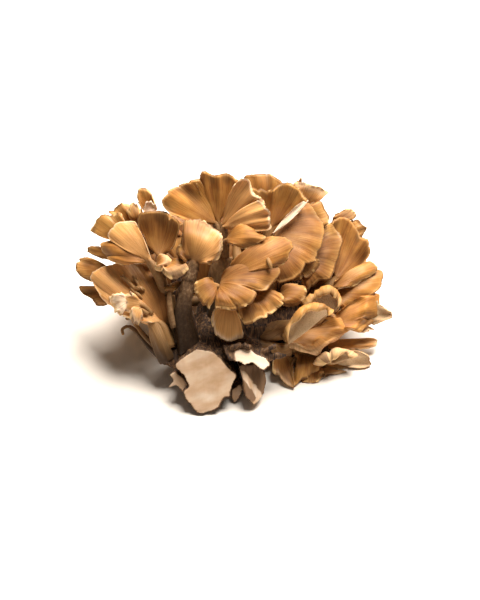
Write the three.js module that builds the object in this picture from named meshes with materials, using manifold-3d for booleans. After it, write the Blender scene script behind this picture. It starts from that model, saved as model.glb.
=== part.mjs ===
// A maitake mushroom (hen of the woods): one fruiting body, cut from its log and lying on a table.
// A stout butt with a knife-cut end forks into branches. Each branch carries a frond of thin, fan-shaped
// caps, brown on top and pale beneath, with wavy lobed margins that turn down.
//
// Everything is written in the growing frame, in millimetres: x to the mushroom's right, y up along its
// growth and z out of its open face. LEAN then lays the growing frame down on the table, +Z up.
import * as THREE from "three";
import { mergeVertices } from "three/addons/utils/BufferGeometryUtils.js";
import Module from "manifold-3d";

const wasm = await Module();
wasm.setup();

// ---- Driving dimensions, millimetres and degrees ----
const LEAN = 45; // how far the growing frame is tipped back from flat on the table
const TABLE = 47.5; // the table lies where y + z = -TABLE in the growing frame
const EYE = 850; // outlines are laid out as seen from this far in front, so depth widens them
const MIDDLE = [-2.98, 11.02]; // middle of the laid-down mushroom's outline on the table, x and y
const GAP = 0.35; // clear space between neighbouring fronds
const MARGIN_THICK = 1.5; // a cap's flesh at its margin
const ROOT_THICK = 4.5; // and where it leaves its stalk
const ROOT_HALF = 2.2; // half the width of a cap where it leaves its stalk
const NECK = 2.2; // radius of a neck that starts on another one
const RIM_STEP = 0.05; // least angle between two rim points as seen from the root, radians
const TURN = 0.82; // share of the way to the margin where its curl begins
const CURL = 70; // a margin turns down by this many degrees
const LIP = 1.6; // over this length
const SWELL = 0.5; // a fan's sides bow out by this share of its half width near the root
const LONG_CAP = 30; // a cap longer than this is domed by two rows of facets, a shorter one by one
const BUTT_SKIN = 0xdcc099; // pale flesh where the knife went
const TRIM = 400; // side of the block that stands for the table when the underside is trimmed flat

const deg = THREE.MathUtils.degToRad;
const vec = (a) => new THREE.Vector3(...a);

// From the growing frame to the part's own frame.
const layDown = new THREE.Matrix4()
  .makeTranslation(0, 0, TABLE * Math.SQRT1_2)
  .multiply(new THREE.Matrix4().makeRotationX(deg(LEAN)));

// ---- Solids ----
function fromMesh(vertProperties, triVerts) {
  return new wasm.Manifold(new wasm.Mesh({ numProp: 3, vertProperties, triVerts }));
}

// A closed body of points in the growing frame and the triangles between them, laid down on the table.
function toManifold(points, triangles) {
  const corners = points.flatMap((p) => {
    const widen = 1 - p.z / EYE;
    return new THREE.Vector3(p.x * widen, p.y * widen, p.z).applyMatrix4(layDown).toArray();
  });
  const kept = triangles.filter(([a, b, c]) => a !== b && b !== c && c !== a);
  return fromMesh(new Float32Array(corners), new Uint32Array(kept.flat()));
}

// A geometry's merged vertices and its triangles, after every vertex is moved by shape(point).
function weld(geometry, shape) {
  geometry.deleteAttribute("normal");
  geometry.deleteAttribute("uv");
  const place = geometry.attributes.position;
  for (let i = 0; i < place.count; i++) {
    const at = shape(new THREE.Vector3().fromBufferAttribute(place, i));
    place.setXYZ(i, at.x, at.y, at.z);
  }
  const merged = mergeVertices(geometry, 1e-4);
  const points = [...Array(merged.attributes.position.count).keys()].map((i) =>
    new THREE.Vector3().fromBufferAttribute(merged.attributes.position, i),
  );
  const index = [...merged.index.array];
  const triangles = [...Array(index.length / 3).keys()].map((i) => index.slice(3 * i, 3 * i + 3));
  return { points, triangles };
}

function solid(geometry, shape) {
  const { points, triangles } = weld(geometry, shape);
  return toManifold(points, triangles);
}

// A sheet over the (u, v) square with a top and an underside, split into the same triangles on both.
function sheet(rows, columns, place, top, under) {
  const grid = new THREE.PlaneGeometry(rows, columns, rows, columns).translate(rows / 2, columns / 2, 0);
  const { points, triangles } = weld(grid, (p) => place(Math.round(p.x), Math.round(p.y)));
  const count = points.length;
  const faces = triangles.filter(([a, b, c]) => a !== b && b !== c && c !== a);
  const edges = new Set(faces.flatMap(([a, b, c]) => [`${a},${b}`, `${b},${c}`, `${c},${a}`]));
  const walls = [...edges]
    .map((edge) => edge.split(",").map(Number))
    .filter(([a, b]) => !edges.has(`${b},${a}`))
    .flatMap(([a, b]) => [[b, a, a + count], [b, a + count, b + count]]);
  const below = faces.map(([a, b, c]) => [c + count, b + count, a + count]);
  return toManifold([...points.map(top), ...points.map(under)], [...faces, ...below, ...walls]);
}

// A round limb along a curve, or through points, with a radius at each of them.
function limb({ points, path, radii, sides = 7, steps = 2 * (points.length - 1) }, grow = 0) {
  const curve = path ?? new THREE.CatmullRomCurve3(points.map(vec), false, "centripetal");
  const frames = curve.computeFrenetFrames(steps, false);
  return solid(new THREE.CylinderGeometry(1, 1, 1, sides, steps), (p) => {
    const t = p.y + 0.5;
    const k = Math.round(t * steps);
    const at = t * (radii.length - 1);
    const i = Math.min(Math.floor(at), radii.length - 2);
    const radius = radii[i] + (radii[i + 1] - radii[i]) * (at - i) + grow;
    return curve
      .getPointAt(t)
      .addScaledVector(frames.normals[k], radius * p.x)
      .addScaledVector(frames.binormals[k], -radius * p.z)
      .addScaledVector(frames.tangents[k], grow * Math.sign(p.y) * (k % steps === 0 ? 1 : 0));
  });
}

// A cap: a thin fan from its root to the margin through the rim points. The rim is given as seen from
// the open face; the slopes of the cap's plane, dz/dx and dz/dy, set its depth. under turns the pores to
// the face. bulge domes the fan, folds wave it, and curl turns the margin down by that many degrees.
function capSurface(cap) {
  const root = vec(cap.root);
  const [gx, gy] = cap.slope;
  const up = new THREE.Vector3(-gx, -gy, 1).normalize();
  const rim = cap.rim.map(([x, y]) => vec([x, y, root.z + gx * (x - root.x) + gy * (y - root.y)]));
  if (cap.under) up.negate();
  return fanSurface({ ...cap, root, rim, up });
}

// Turns rim points about the root where needed, so that each lies further round the fan than the last.
function fanOut(rim, root, out, side, up) {
  const arms = rim.map((p) => p.clone().sub(root));
  const was = arms.map((arm) => Math.atan2(arm.dot(side), arm.dot(out)));
  const now = [...was];
  const middle = Math.floor(rim.length / 2);
  for (let i = middle + 1; i < rim.length; i++) now[i] = Math.max(now[i], now[i - 1] + RIM_STEP);
  for (let i = middle - 1; i >= 0; i--) now[i] = Math.min(now[i], now[i + 1] - RIM_STEP);
  return arms.map((arm, i) => arm.applyAxisAngle(up, now[i] - was[i]).add(root));
}

function fanSurface(fan) {
  const { root, up, bulge, folds, curl = CURL, lip = LIP, half = ROOT_HALF } = fan;
  const [waves, height, phase] = folds;
  let rim = fan.rim;
  const middle = new THREE.Vector3();
  rim.forEach((p) => middle.addScaledVector(p, 1 / rim.length));
  const out = middle.sub(root);
  out.addScaledVector(up, -out.dot(up)).normalize();
  const side = new THREE.Vector3().crossVectors(up, out);
  if (new THREE.Vector3().subVectors(rim.at(-1), rim[0]).dot(side) < 0) rim = rim.toReversed();
  const edge = new THREE.CatmullRomCurve3(fanOut(rim, root, out, side, up), false, "centripetal");
  const ray = (v) => edge.getPoint(v).sub(root);
  const flat = (t, v) => {
    const end = ray(v);
    const reach = end.length();
    const start = side.clone().multiplyScalar((half * end.dot(side)) / reach);
    start.addScaledVector(out, (0.4 * half * end.dot(out)) / reach);
    const wave = height * Math.sin(2 * Math.PI * (waves * v + phase)) * t ** 1.4;
    const swell = SWELL * (1 - t) * end.dot(side);
    return start
      .lerp(end.multiplyScalar(1 - lip / reach).addScaledVector(side, swell), t)
      .addScaledVector(up, bulge * 4 * t * (1 - t) + wave)
      .add(root);
  };
  const surface = (u, v) => {
    if (u <= TURN) return flat(u / TURN, v);
    const angle = (deg(curl) * (u - TURN)) / (1 - TURN);
    const radius = lip / Math.sin(Math.min(deg(curl), Math.PI / 2));
    return flat(1, v)
      .addScaledVector(ray(v).normalize(), radius * Math.sin(angle))
      .addScaledVector(up, radius * (Math.cos(angle) - 1));
  };
  return { surface, root, out, up };
}

// The fan itself. Nearer the root than the turn, every other column of facets is dropped.
function fanSolid({ surface, up }, { rim, thick = ROOT_THICK }, grow) {
  const columns = rim.length - 1;
  const flatRows = surface(1, 0.5).distanceTo(surface(0, 0.5)) > LONG_CAP ? 2 : 1;
  const rows = flatRows + 1;
  const place = (row, column) => {
    const kept = row < flatRows ? Math.min(2 * Math.round(column / 2), columns) : column;
    return new THREE.Vector3(row === rows ? 1 : (TURN * row) / flatRows, kept / columns, 0);
  };
  const grown = ({ x: u, y: v }) => {
    const away = surface(1, v).sub(surface(0, v)).setLength(u === 1 ? grow : 0);
    const over = surface(u, 1).sub(surface(u, 0)).setLength(v === 1 ? grow : v === 0 ? -grow : 0);
    return surface(u, v).add(away).add(over);
  };
  const flesh = (u) => MARGIN_THICK + (thick - MARGIN_THICK) * (1 - u) ** 3;
  return sheet(
    rows,
    columns,
    place,
    (p) => grown(p).addScaledVector(up, 1.3 * grow),
    (p) => grown(p).addScaledVector(up, -flesh(p.x) - 1.3 * grow),
  );
}

// The neck that carries a fan, from the fork into the fan's flesh.
function neckSolid({ root, out, up }, { from, thick = ROOT_THICK, neck = NECK }, fork, grow) {
  const start = vec(from ?? fork.at);
  const end = root.clone().addScaledVector(up, -0.55 * thick).addScaledVector(out, 1.5);
  const along = out.dot(end.clone().sub(start));
  const turn = along > 0 ? end.clone().addScaledVector(out, -0.4 * along) : start.clone().lerp(end, 0.5);
  const path = new THREE.QuadraticBezierCurve3(start, turn, end);
  const steps = start.distanceTo(end) > 16 ? 2 : 1;
  return limb({ path, radii: [from ? neck : 0.7 * fork.radius, 0.4 * thick], sides: 5, steps }, grow);
}

function capSolid(cap, fork, grow = 0) {
  const fan = cap.up ? fanSurface(cap) : capSurface(cap);
  return fanSolid(fan, cap, grow).add(neckSolid(fan, cap, fork, grow));
}

const union = (solids) => solids.reduce((a, b) => a.add(b));

// ---- The fronds ----
const FRONDS = [
  {
    name: "left_low_frond",
    skin: 0xc08a52,
    fork: { at: [-36, -24, 3], radius: 5 },
    caps: [
      {
        root: [-38, -15, 5], slope: [0.1, -0.2], thick: 7, half: 3.5, bulge: 3,
        folds: [2.5, 1.2, 0.1],
        rim: [[-39, 2], [-42, 13], [-50, 18.5], [-58, 19.5], [-66, 18.5], [-73, 16], [-76.5, 12.5],
          [-75, 9.3], [-71.5, 7.5], [-69.5, 4.6], [-63, 4.8]],
      },
      {
        root: [-40.5, -11, 7], slope: [0.1, -0.3], thick: 4, half: 3, bulge: 1.5, folds: [4, 1.4, 0.3],
        rim: [[-58, 5], [-66, 4], [-66, 0], [-63.5, -4], [-60.3, -7.8], [-57, -6.3], [-54, -6.5],
          [-51.7, -9.8], [-48, -8.6]],
      },
      {
        root: [-66, 14, -8], from: [-54, 6, -1.4], slope: [0.1, -0.2], bulge: 1.5, folds: [2, 0.6, 0],
        rim: [[-72, 20], [-77, 22], [-80.5, 22.3], [-83.3, 20.2], [-84.3, 17], [-83.2, 14], [-80, 11.2],
          [-76, 9.5], [-71, 9]],
      },
      {
        root: [-60, 3, -14], from: [-46, -4, 0.2], neck: 3, slope: [0, -0.3], bulge: 1.5,
        folds: [2.5, 1.2, 0.4],
        rim: [[-70, 7], [-75, 6.6], [-78.5, 7.4], [-82, 7.4], [-81.8, 5.2], [-78.5, 2.5], [-75.5, 0],
          [-73, -3], [-68, -2.2]],
      },
      {
        root: [-62, 21, -8.5], from: [-52, 9, -1.5], slope: [0.1, -0.2], half: 3.5, bulge: 1,
        folds: [1.5, 0.5, 0],
        rim: [[-72, 28], [-76.5, 27.6], [-78.3, 25.5], [-76, 23.6], [-71, 21]],
      },
    ],
  },
  {
    name: "left_high_frond",
    skin: 0xc4935c,
    fork: { at: [-37.5, 2, 1], radius: 4 },
    stems: [{ points: [[-31, -22, 0], [-35.5, -10, 0], [-37.5, 3, 1]], radii: [5.5, 4.5, 4] }],
    caps: [
      {
        root: [-46, 20, 8], slope: [0.25, -0.25], thick: 5, bulge: 2.5, folds: [2, 0.7, 0.1],
        rim: [[-50.5, 31], [-53.6, 40], [-59, 40.8], [-64.5, 38.3], [-68, 33.5], [-66, 30]],
      },
      {
        root: [-47, 20, 7.5], slope: [0.3, -0.35], thick: 5, bulge: 3, folds: [2, 0.8, 0.6],
        rim: [[-65, 31.5], [-71.5, 28.8], [-70.3, 24.5], [-66, 19.8], [-59, 17.6]],
      },
      {
        root: [-41.5, 22, 4], slope: [0, 0.05], thick: 5, bulge: -2.5, folds: [3, 0.8, 0.2],
        rim: [[-48.5, 33], [-52.6, 40], [-50.5, 44.6], [-45, 45.6], [-39, 45.3], [-34.3, 43],
          [-31.2, 39.3], [-32, 32], [-34.5, 26]],
      },
      {
        root: [-43, 19, 9.5], slope: [-0.1, -0.7], from: [-42.5, 13, 3], bulge: 2,
        folds: [1.5, 0.6, 0.2],
        rim: [[-40, 24], [-36.6, 23.2], [-34.3, 20], [-36, 16.8], [-40, 15.6], [-43.5, 16], [-46.3, 19]],
      },
      {
        root: [-37.5, 18.5, 9.5], slope: [-0.1, -0.7], from: [-39, 12, 3], bulge: 2.5,
        folds: [2, 0.8, 0],
        rim: [[-30.5, 20.6], [-26.5, 18.6], [-25, 16.3], [-27.5, 13.7], [-31.5, 12.2], [-36, 11.4],
          [-39.3, 13.4], [-41, 16]],
      },
      {
        root: [-57, 30, -4], from: [-46, 18, 2], slope: [0.25, 0.05], bulge: 1.5, folds: [2.5, 0.8, 0],
        rim: [[-59, 40], [-61, 45], [-63.5, 45], [-67, 43.2], [-70, 43.8], [-73.5, 40.5], [-76, 37.3],
          [-77, 35.2], [-72, 34.3], [-66, 32]],
      },
      {
        root: [-53, 37, -6], from: [-45, 24, 2], slope: [0.2, 0], bulge: 1.5, folds: [2, 0.8, 0.5],
        rim: [[-54, 46], [-57, 48.8], [-60.3, 49.5], [-63.5, 47.8], [-67.3, 45.4], [-62, 42]],
      },
      {
        root: [-52, 39, -3], from: [-48, 30, -1], slope: [0, 0.1], bulge: 1, folds: [1.5, 0.8, 0],
        rim: [[-49.5, 44.5], [-50.3, 47.5], [-53, 49.3], [-55.3, 49.7], [-56.8, 46.8], [-58, 44]],
      },
      {
        root: [-45, 42, -6], from: [-42, 27, 2], slope: [0.1, 0], bulge: -1.5, folds: [1.5, 1, 0.2],
        rim: [[-41.8, 47], [-44, 52.3], [-46.3, 55.6], [-49.3, 57.5], [-51.8, 57], [-52.2, 54],
          [-53, 51], [-50.5, 47.5]],
      },
      {
        root: [-45.5, 41, -3], from: [-43, 33, 1], slope: [0, 0.1], under: true, bulge: 1,
        folds: [1.5, 0.4, 0],
        rim: [[-42, 46.8], [-43, 49.2], [-46.4, 49.6], [-48.6, 48], [-49.6, 45.5]],
      },
    ],
  },
  {
    name: "bud",
    skin: 0xa98258,
    fork: { at: [-33.5, -14, 7], radius: 2.6 },
    caps: [
      {
        root: [-36, 4, 8], slope: [0.2, -0.5], half: 1.6, thick: 3, bulge: 1, folds: [1, 0.4, 0],
        rim: [[-39.5, 5.5], [-37, 8.4], [-30, 10.2], [-32, 5.6]],
      },
    ],
  },
  {
    name: "middle_frond",
    skin: 0xa87540,
    fork: { at: [-26, 10, 8], radius: 5 },
    stems: [
      { points: [[-25, -27, 3], [-29, -9, 6], [-27.5, 4, 7], [-25, 15, 8.5]], radii: [7, 4.7, 3.8, 4.8] },
    ],
    caps: [
      {
        root: [-24, 19.5, 11], slope: [0.05, -0.15], thick: 6, half: 2, bulge: 3.5, folds: [3, 1, 0.4],
        rim: [[-30.5, 19.5], [-33.3, 25], [-30, 31], [-29.2, 36], [-28.5, 40.6], [-23, 41.2], [-17, 40],
          [-12, 36.3], [-9, 32.5], [-8.8, 26], [-11, 21], [-15, 18]],
      },
    ],
  },
  {
    name: "crown_frond",
    skin: 0xb98450,
    fork: { at: [-8.5, 22, -5], radius: 4.5 },
    stems: [{ points: [[-12, -12, -8], [-12, 6, -8], [-8.5, 23, -5]], radii: [7, 6, 4.5] }],
    caps: [
      {
        root: [-12, 39, -1], slope: [-0.3, -0.05], bulge: -1, folds: [2, 1.2, 0.2],
        rim: [[-31, 42], [-37.5, 45.8], [-39.4, 49], [-38.6, 53], [-35, 56.6], [-30, 58.4], [-26, 60.8],
          [-21, 62.3]],
      },
      {
        root: [-11, 39, -2], slope: [-0.1, 0.15], bulge: -1.5, folds: [3, 1.3, 0.1],
        rim: [[-22.5, 59], [-20.3, 63.4], [-17.7, 66], [-13.2, 63.7], [-10, 64.4], [-5, 64],
          [-0.5, 61.5]],
      },
      {
        root: [-9.5, 38, -1], slope: [0.35, 0.2], bulge: -1, folds: [2, 1.2, 0.6],
        rim: [[-4, 58.5], [0, 61.8], [4, 61], [5.6, 57], [9, 53.3], [11.3, 51.3], [12.7, 48.3]],
      },
      {
        root: [-9.5, 37, 1], slope: [0.45, 0.1], bulge: 1, folds: [3, 1.2, 0],
        rim: [[8.5, 51], [12.2, 47.8], [14.4, 46], [15.2, 43], [16.4, 41], [15.7, 38.3], [14.8, 35.6],
          [9, 35.5]],
      },
      {
        root: [-8.3, 31, 6], slope: [0.3, -0.5], bulge: 2.5, folds: [1.5, 0.8, 0.3],
        rim: [[5, 40], [10, 36.5], [12.2, 31.6], [9, 29.4], [5, 26.7], [1, 26.3]],
      },
    ],
  },
  {
    name: "upper_right_frond",
    skin: 0xc8965a,
    fork: { at: [14, 18, -14], radius: 5 },
    stems: [{ points: [[6, -8, -16], [12, 6, -16], [14, 19, -14]], radii: [7, 6, 5] }],
    caps: [
      {
        root: [14, 40, -18], slope: [0, 0.15], bulge: 2, folds: [4, 0.6, 0],
        rim: [[-1, 60], [2, 63], [6, 64.4], [12, 64.3], [17, 63.3], [20.5, 61.2], [23, 58]],
      },
      {
        root: [16, 37, -8], slope: [-0.05, 0.1], bulge: -1.5, folds: [3, 1.4, 0.2],
        rim: [[4, 57.3], [10, 56.6], [16, 56.2], [18.5, 58.3], [22, 59.4], [26, 59.6], [30, 57.2],
          [33, 54], [35.4, 50.5]],
      },
      {
        root: [16.5, 33.5, -5], from: [16, 30, -9], slope: [-0.1, -0.4], under: true, thick: 2,
        half: 0.8, bulge: 0.5, folds: [1, 0.1, 0], curl: 30,
        rim: [[23.5, 44.5], [30.5, 50.5], [34.3, 50.8], [32, 46.5], [26.5, 41]],
      },
      {
        root: [17, 33, -6], slope: [-0.12, -0.4], bulge: 2, folds: [3, 1, 0.5],
        rim: [[25, 42], [31, 48.3], [35.5, 49.6], [39.6, 45], [42.8, 39], [43.3, 33], [41.2, 27],
          [39.5, 23], [38.6, 20.2], [33.5, 17.2], [30, 13], [24, 9.6], [17, 8.2]],
      },
      {
        root: [28, 40, -16], from: [20, 28, -14], slope: [0, -0.1], bulge: 1, folds: [2, 0.6, 0],
        rim: [[36, 49.6], [39, 50.6], [41.2, 50.3], [43.4, 46.5], [45.3, 43], [45.4, 39], [42, 36]],
      },
      {
        root: [33, 22, -13], from: [20, 18, -14], neck: 3, slope: [-0.15, -0.3], bulge: 2,
        folds: [3, 0.8, 0.2],
        rim: [[44.5, 41.4], [48, 38.5], [51.5, 33], [52.2, 29], [50.8, 23.5], [49, 17], [46.5, 11],
          [42, 9.7], [38, 7.8], [34.3, 5.3], [31, 8]],
      },
      {
        root: [29, 20, -8], from: [22, 18, -12], slope: [-0.1, -0.3], bulge: 1.5, folds: [1.5, 0.5, 0],
        rim: [[38, 23], [41.4, 20.2], [39.5, 16.3], [36.5, 12.8], [33, 10.4], [27, 10]],
      },
      {
        root: [32, 48, -20], from: [22, 34, -17], slope: [-0.1, 0.2], bulge: 1, folds: [2, 0.8, 0],
        rim: [[27, 59.5], [31, 60.2], [36, 59], [41, 57.2], [45, 54.7], [41, 51.5]],
      },
      {
        root: [30, 55, -22], from: [29, 48, -20], neck: 1.5, slope: [0, 0.1], under: true, bulge: 0.5,
        folds: [1, 0.3, 0], half: 1.2, thick: 2,
        rim: [[26.4, 60.3], [28.5, 61.5], [31, 62.1], [31.6, 59.5]],
      },
    ],
  },
  {
    name: "centre_frond",
    skin: 0xc9955c,
    fork: { at: [-5, -2, 3], radius: 4.5 },
    stems: [{ points: [[-6, -20, -4], [-4.5, -10, 0], [-5, -1, 3]], radii: [7, 5.5, 4.5] }],
    caps: [
      {
        root: [-11, 9, 14], slope: [0.05, -0.6], from: [-6, 0, 4], neck: 3, thick: 5, half: 2.6,
        bulge: 3, folds: [3, 0.9, 0.1],
        rim: [[-12.9, -3.6], [-8, -4.5], [-2, -4.2], [3, -2.6], [7.5, 0.4], [9, 4], [13.5, 5.4],
          [16, 8.5], [20.6, 15.3], [15, 19.5], [8, 20.6], [0, 19], [-6, 15]],
      },
      {
        root: [-5, 13, 12], slope: [0.1, -0.35], bulge: 3, folds: [2, 0.8, 0.4],
        rim: [[17, 20], [22, 19], [24, 20.7], [25.5, 24], [27.2, 27], [26, 30.2], [22, 32.3], [16, 33],
          [11, 31.5], [4, 26.8], [-3, 21]],
      },
      {
        root: [-11.5, 8.5, 15.5], slope: [-0.1, -0.45], from: [-7, 2, 6], bulge: 2,
        folds: [2.5, 0.6, 0.2],
        rim: [[-16.5, 11.2], [-20.5, 10.8], [-23.2, 9.4], [-23.3, 6.5], [-22, 2.7], [-20.3, -0.8],
          [-18, -3], [-15.4, -4.2]],
      },
      {
        root: [5, 3, 8], slope: [0.05, -0.6], bulge: 2.5, folds: [3, 0.6, 0],
        rim: [[-2.6, -4.5], [0, -9], [2.7, -12.3], [6, -11.3], [9.6, -9.4], [14, -8.8], [17.5, -5.8],
          [20, -3.4], [22.6, -1], [22.8, 1.6], [20.4, 3.8], [14, 7]],
      },
      {
        root: [20, 3, 4], slope: [0, -0.5], bulge: 2.5, folds: [2, 0.5, 0.2],
        rim: [[22.5, 7.3], [26, 8.9], [30, 8.6], [33.5, 6.6], [34.3, 4], [33, 0.8], [30.5, -1.6],
          [26, -3], [22.3, -3.6]],
      },
      {
        root: [-6, 0, 11], slope: [0, -0.05], bulge: 1.5, folds: [2, 0.6, 0.2],
        rim: [[-12.5, -3], [-14.5, -7], [-14.7, -12], [-13.4, -16], [-11, -19], [-7.5, -21],
          [-4, -21.5], [-1, -20.2], [2, -18.7], [-0.3, -15], [-2.3, -10]],
      },
    ],
  },
  {
    name: "right_high_frond",
    skin: 0xb9834a,
    fork: { at: [38, 2, -17], radius: 4.5 },
    caps: [
      {
        root: [49, 11, -19], slope: [-0.1, -0.15], bulge: -2, folds: [3, 1, 0.1],
        rim: [[46.3, 36], [48, 41], [52, 42.4], [56, 41], [59.5, 37.6], [61.8, 32.6], [64.5, 31.5],
          [66.4, 27.5], [66, 23], [63.5, 18.5], [59, 15]],
      },
      {
        root: [47.5, 39, -26], from: [47, 28, -24], slope: [-0.1, -0.2], bulge: 1.2,
        folds: [1.5, 0.6, 0],
        rim: [[48.5, 44], [52, 46.2], [55, 47], [58, 46.3], [59.5, 44], [58.8, 41.8], [54, 40]],
      },
      {
        root: [53, 34, -28], from: [50, 26, -24], slope: [-0.1, -0.1], bulge: 1.2,
        folds: [2.5, 0.8, 0],
        rim: [[57, 41.3], [60, 41.5], [62.5, 39.6], [63.4, 38], [65, 36.7], [63.5, 34], [62, 31]],
      },
      {
        root: [48, 3, -13], slope: [-0.05, -0.35], bulge: 2.5, folds: [2, 1, 0.3],
        rim: [[62, 15], [68, 16], [73, 15], [73.2, 11], [71.5, 6.5], [68, 3], [63, -1], [59, -4.5],
          [56, -5.6], [51.5, -5]],
      },
      {
        root: [47.5, 6.5, -9], from: [43, 3, -14], slope: [-0.1, -0.45], bulge: 2,
        folds: [2.5, 0.8, 0.1],
        rim: [[50, 11.5], [55, 14], [60, 17.6], [64, 20], [67.5, 19.4], [70.4, 16.5], [67, 13],
          [62.5, 10.5], [58.8, 7.4], [54, 9]],
      },
    ],
  },
  {
    name: "right_mid_frond",
    skin: 0xa8703a,
    fork: { at: [27, -14, -9], radius: 4 },
    stems: [{ points: [[8, -18, -12], [18, -16, -10], [28, -14, -9]], radii: [6, 5, 4] }],
    caps: [
      {
        root: [42, -8, -6], slope: [-0.1, 0.3], under: true, lip: 3, curl: 90, bulge: 1,
        folds: [2, 0.5, 0],
        rim: [[31, -1], [37, 4.8], [45, 7.8], [49.2, 6], [51.4, 2], [50.3, -4]],
      },
      {
        root: [24, -22, 4], slope: [-0.2, 0.3], from: [22, -18, -6], neck: 2.8, under: true, half: 1.4,
        thick: 3.5, lip: 3.2, curl: 90, bulge: 1, folds: [2, 0.6, 0.2],
        rim: [[21.4, -18], [23.4, -12], [27.3, -6.2], [32.4, -2.7], [39, -0.8], [45.2, -1.2], [47.8, -4]],
      },
      {
        root: [33, -15, -3], slope: [-0.1, -0.4], from: [29, -15, -7], thick: 3, bulge: 1,
        folds: [1.5, 0.3, 0],
        rim: [[39, -9.5], [44, -6.6], [48.2, -6.4], [49.2, -8.7], [44, -11]],
      },
      {
        root: [27, -18, -3], slope: [-0.1, -0.5], bulge: 2, folds: [2.5, 1, 0],
        rim: [[25, -23.5], [29.5, -25], [36.4, -26.5], [41.4, -25.4], [44.3, -22.8], [51.2, -17.8],
          [57, -14.5], [52, -9.5], [43, -10]],
      },
      {
        root: [45, -12, -9], slope: [-0.1, -0.3], from: [33, -14, -9], lip: 2.4, bulge: 2.5,
        folds: [2, 1, 0.1],
        rim: [[55, -4.5], [61.9, 0.7], [66.8, 3.9], [71, 3.2], [69.6, -4], [69.3, -8.2], [65.8, -12.2],
          [61.9, -16], [57, -15]],
      },
      {
        root: [60, -9, -14], slope: [-0.1, 0.1], from: [50, -11, -13], under: true, thick: 3, bulge: 1,
        folds: [2, 0.6, 0.2],
        rim: [[69.3, -0.3], [73.7, -4], [77.4, -6], [77.9, -8.4], [74.7, -10.2], [68.5, -13]],
      },
      {
        root: [57, -12, -13], slope: [-0.1, 0.1], from: [50, -12, -13], under: true, thick: 3,
        bulge: 0.6, folds: [1, 0.3, 0],
        rim: [[65.8, -13], [68.5, -15.2], [64, -16.6], [59.5, -17]],
      },
    ],
  },
  {
    name: "right_low_frond",
    skin: 0xa46e3c,
    fork: { at: [26, -25, -9], radius: 3.5 },
    stems: [{ points: [[8, -26, -8], [18, -26, -9], [27, -25, -9]], radii: [6, 4.5, 3.5] }],
    caps: [
      {
        root: [42, -23, -15], slope: [-0.05, -0.5], from: [30, -24, -12], bulge: 1,
        folds: [1.5, 0.5, 0],
        rim: [[52, -19.4], [61, -19.6], [69.8, -19.7], [70.4, -21.8], [67.5, -23.9], [60, -24.6],
          [52, -26]],
      },
      {
        root: [46, -32, -9], slope: [-0.1, 0.25], from: [30, -26, -10], under: true, half: 3, lip: 3.2,
        curl: 90, bulge: 1, folds: [1.5, 0.5, 0],
        rim: [[37.3, -31.9], [41.2, -27.8], [46.2, -24.8], [52, -24.2], [57, -24.7], [60, -27.5]],
      },
      {
        root: [48, -31, -12], slope: [-0.05, 0.1], from: [30, -26, -11], under: true, bulge: 1,
        folds: [2, 0.6, 0],
        rim: [[57, -25.5], [62.9, -26.2], [66, -28.8], [67, -33.2], [63.9, -34.8], [56, -34.6]],
      },
      {
        root: [33, -26, -9], slope: [-0.1, -0.3], half: 4, thick: 5, bulge: 2, folds: [2, 0.9, 0.2],
        rim: [[42, -31], [41.4, -37.5], [36.5, -38.9], [32.2, -40.3], [28.4, -44], [26.8, -40.6],
          [28, -34], [27, -29]],
      },
      {
        root: [42, -32, -12], slope: [-0.05, 0.05], from: [34, -29, -11], bulge: 1,
        folds: [1.5, 0.5, 0],
        rim: [[48, -33.5], [53.4, -33.6], [59.2, -36.2], [53, -37.4], [48, -38.8], [43, -39]],
      },
      {
        root: [38, -33, -9], slope: [0, -0.25], from: [33, -28, -10], half: 3, bulge: 1.5,
        folds: [2, 0.6, 0],
        rim: [[31, -40], [31, -43], [35.4, -44.9], [39.4, -43.8], [41.8, -41], [44, -38.5]],
      },
      {
        root: [42, -36, -11], slope: [0, -0.05], from: [37, -32, -11], thick: 3, bulge: 0.5,
        folds: [1, 0.3, 0],
        rim: [[43, -42.2], [48, -40.4], [54.3, -37.8], [49, -36.6]],
      },
      {
        root: [21, -27, -5], slope: [-0.1, -0.3], from: [19, -26, -8], half: 2.6, bulge: -2,
        folds: [1.5, 0.5, 0.2],
        rim: [[16.2, -30.5], [16.2, -35.6], [19, -39], [23.6, -42.6], [28.2, -45.8], [27.6, -40],
          [27.5, -34], [29, -29.5]],
      },
    ],
  },
];

// ---- Caps on the hidden side: rings of fans round the back of the head, by one rule ----
// A cap leaves the core at a turn round the growth axis, from -90 on the left to 90 on the right, and
// leans from straight up the growth axis towards the table. Its foot lies on the ring's ellipse, which
// runs across, deep behind back, and lift above low.
const RINGS = [
  {
    turns: [-98, -64, -34, -4, 26],
    lean: 86, low: -6, lift: 22, across: 33, deep: 15, back: -22, reach: 24.5,
  },
  { turns: [-82, -48, -18, 10, 40], lean: 60, low: 10, lift: 8, across: 30, deep: 13, back: -23, reach: 28 },
  { turns: [-62, -22, 20], lean: 36, low: 22, lift: 6, across: 24, deep: 12, back: -20, reach: 26 },
  { turns: [0], lean: 14, low: 24, lift: 4, across: 20, deep: 3, back: -15, reach: 24 },
];
const RING_MIDDLE = -2; // x of the rings' common axis
const RING_SPREAD = 44; // a ring cap opens this far either way
const RING_RIM = [-1, -0.5, 0.05, 0.55, 1]; // its rim points, as shares of that opening

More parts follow.
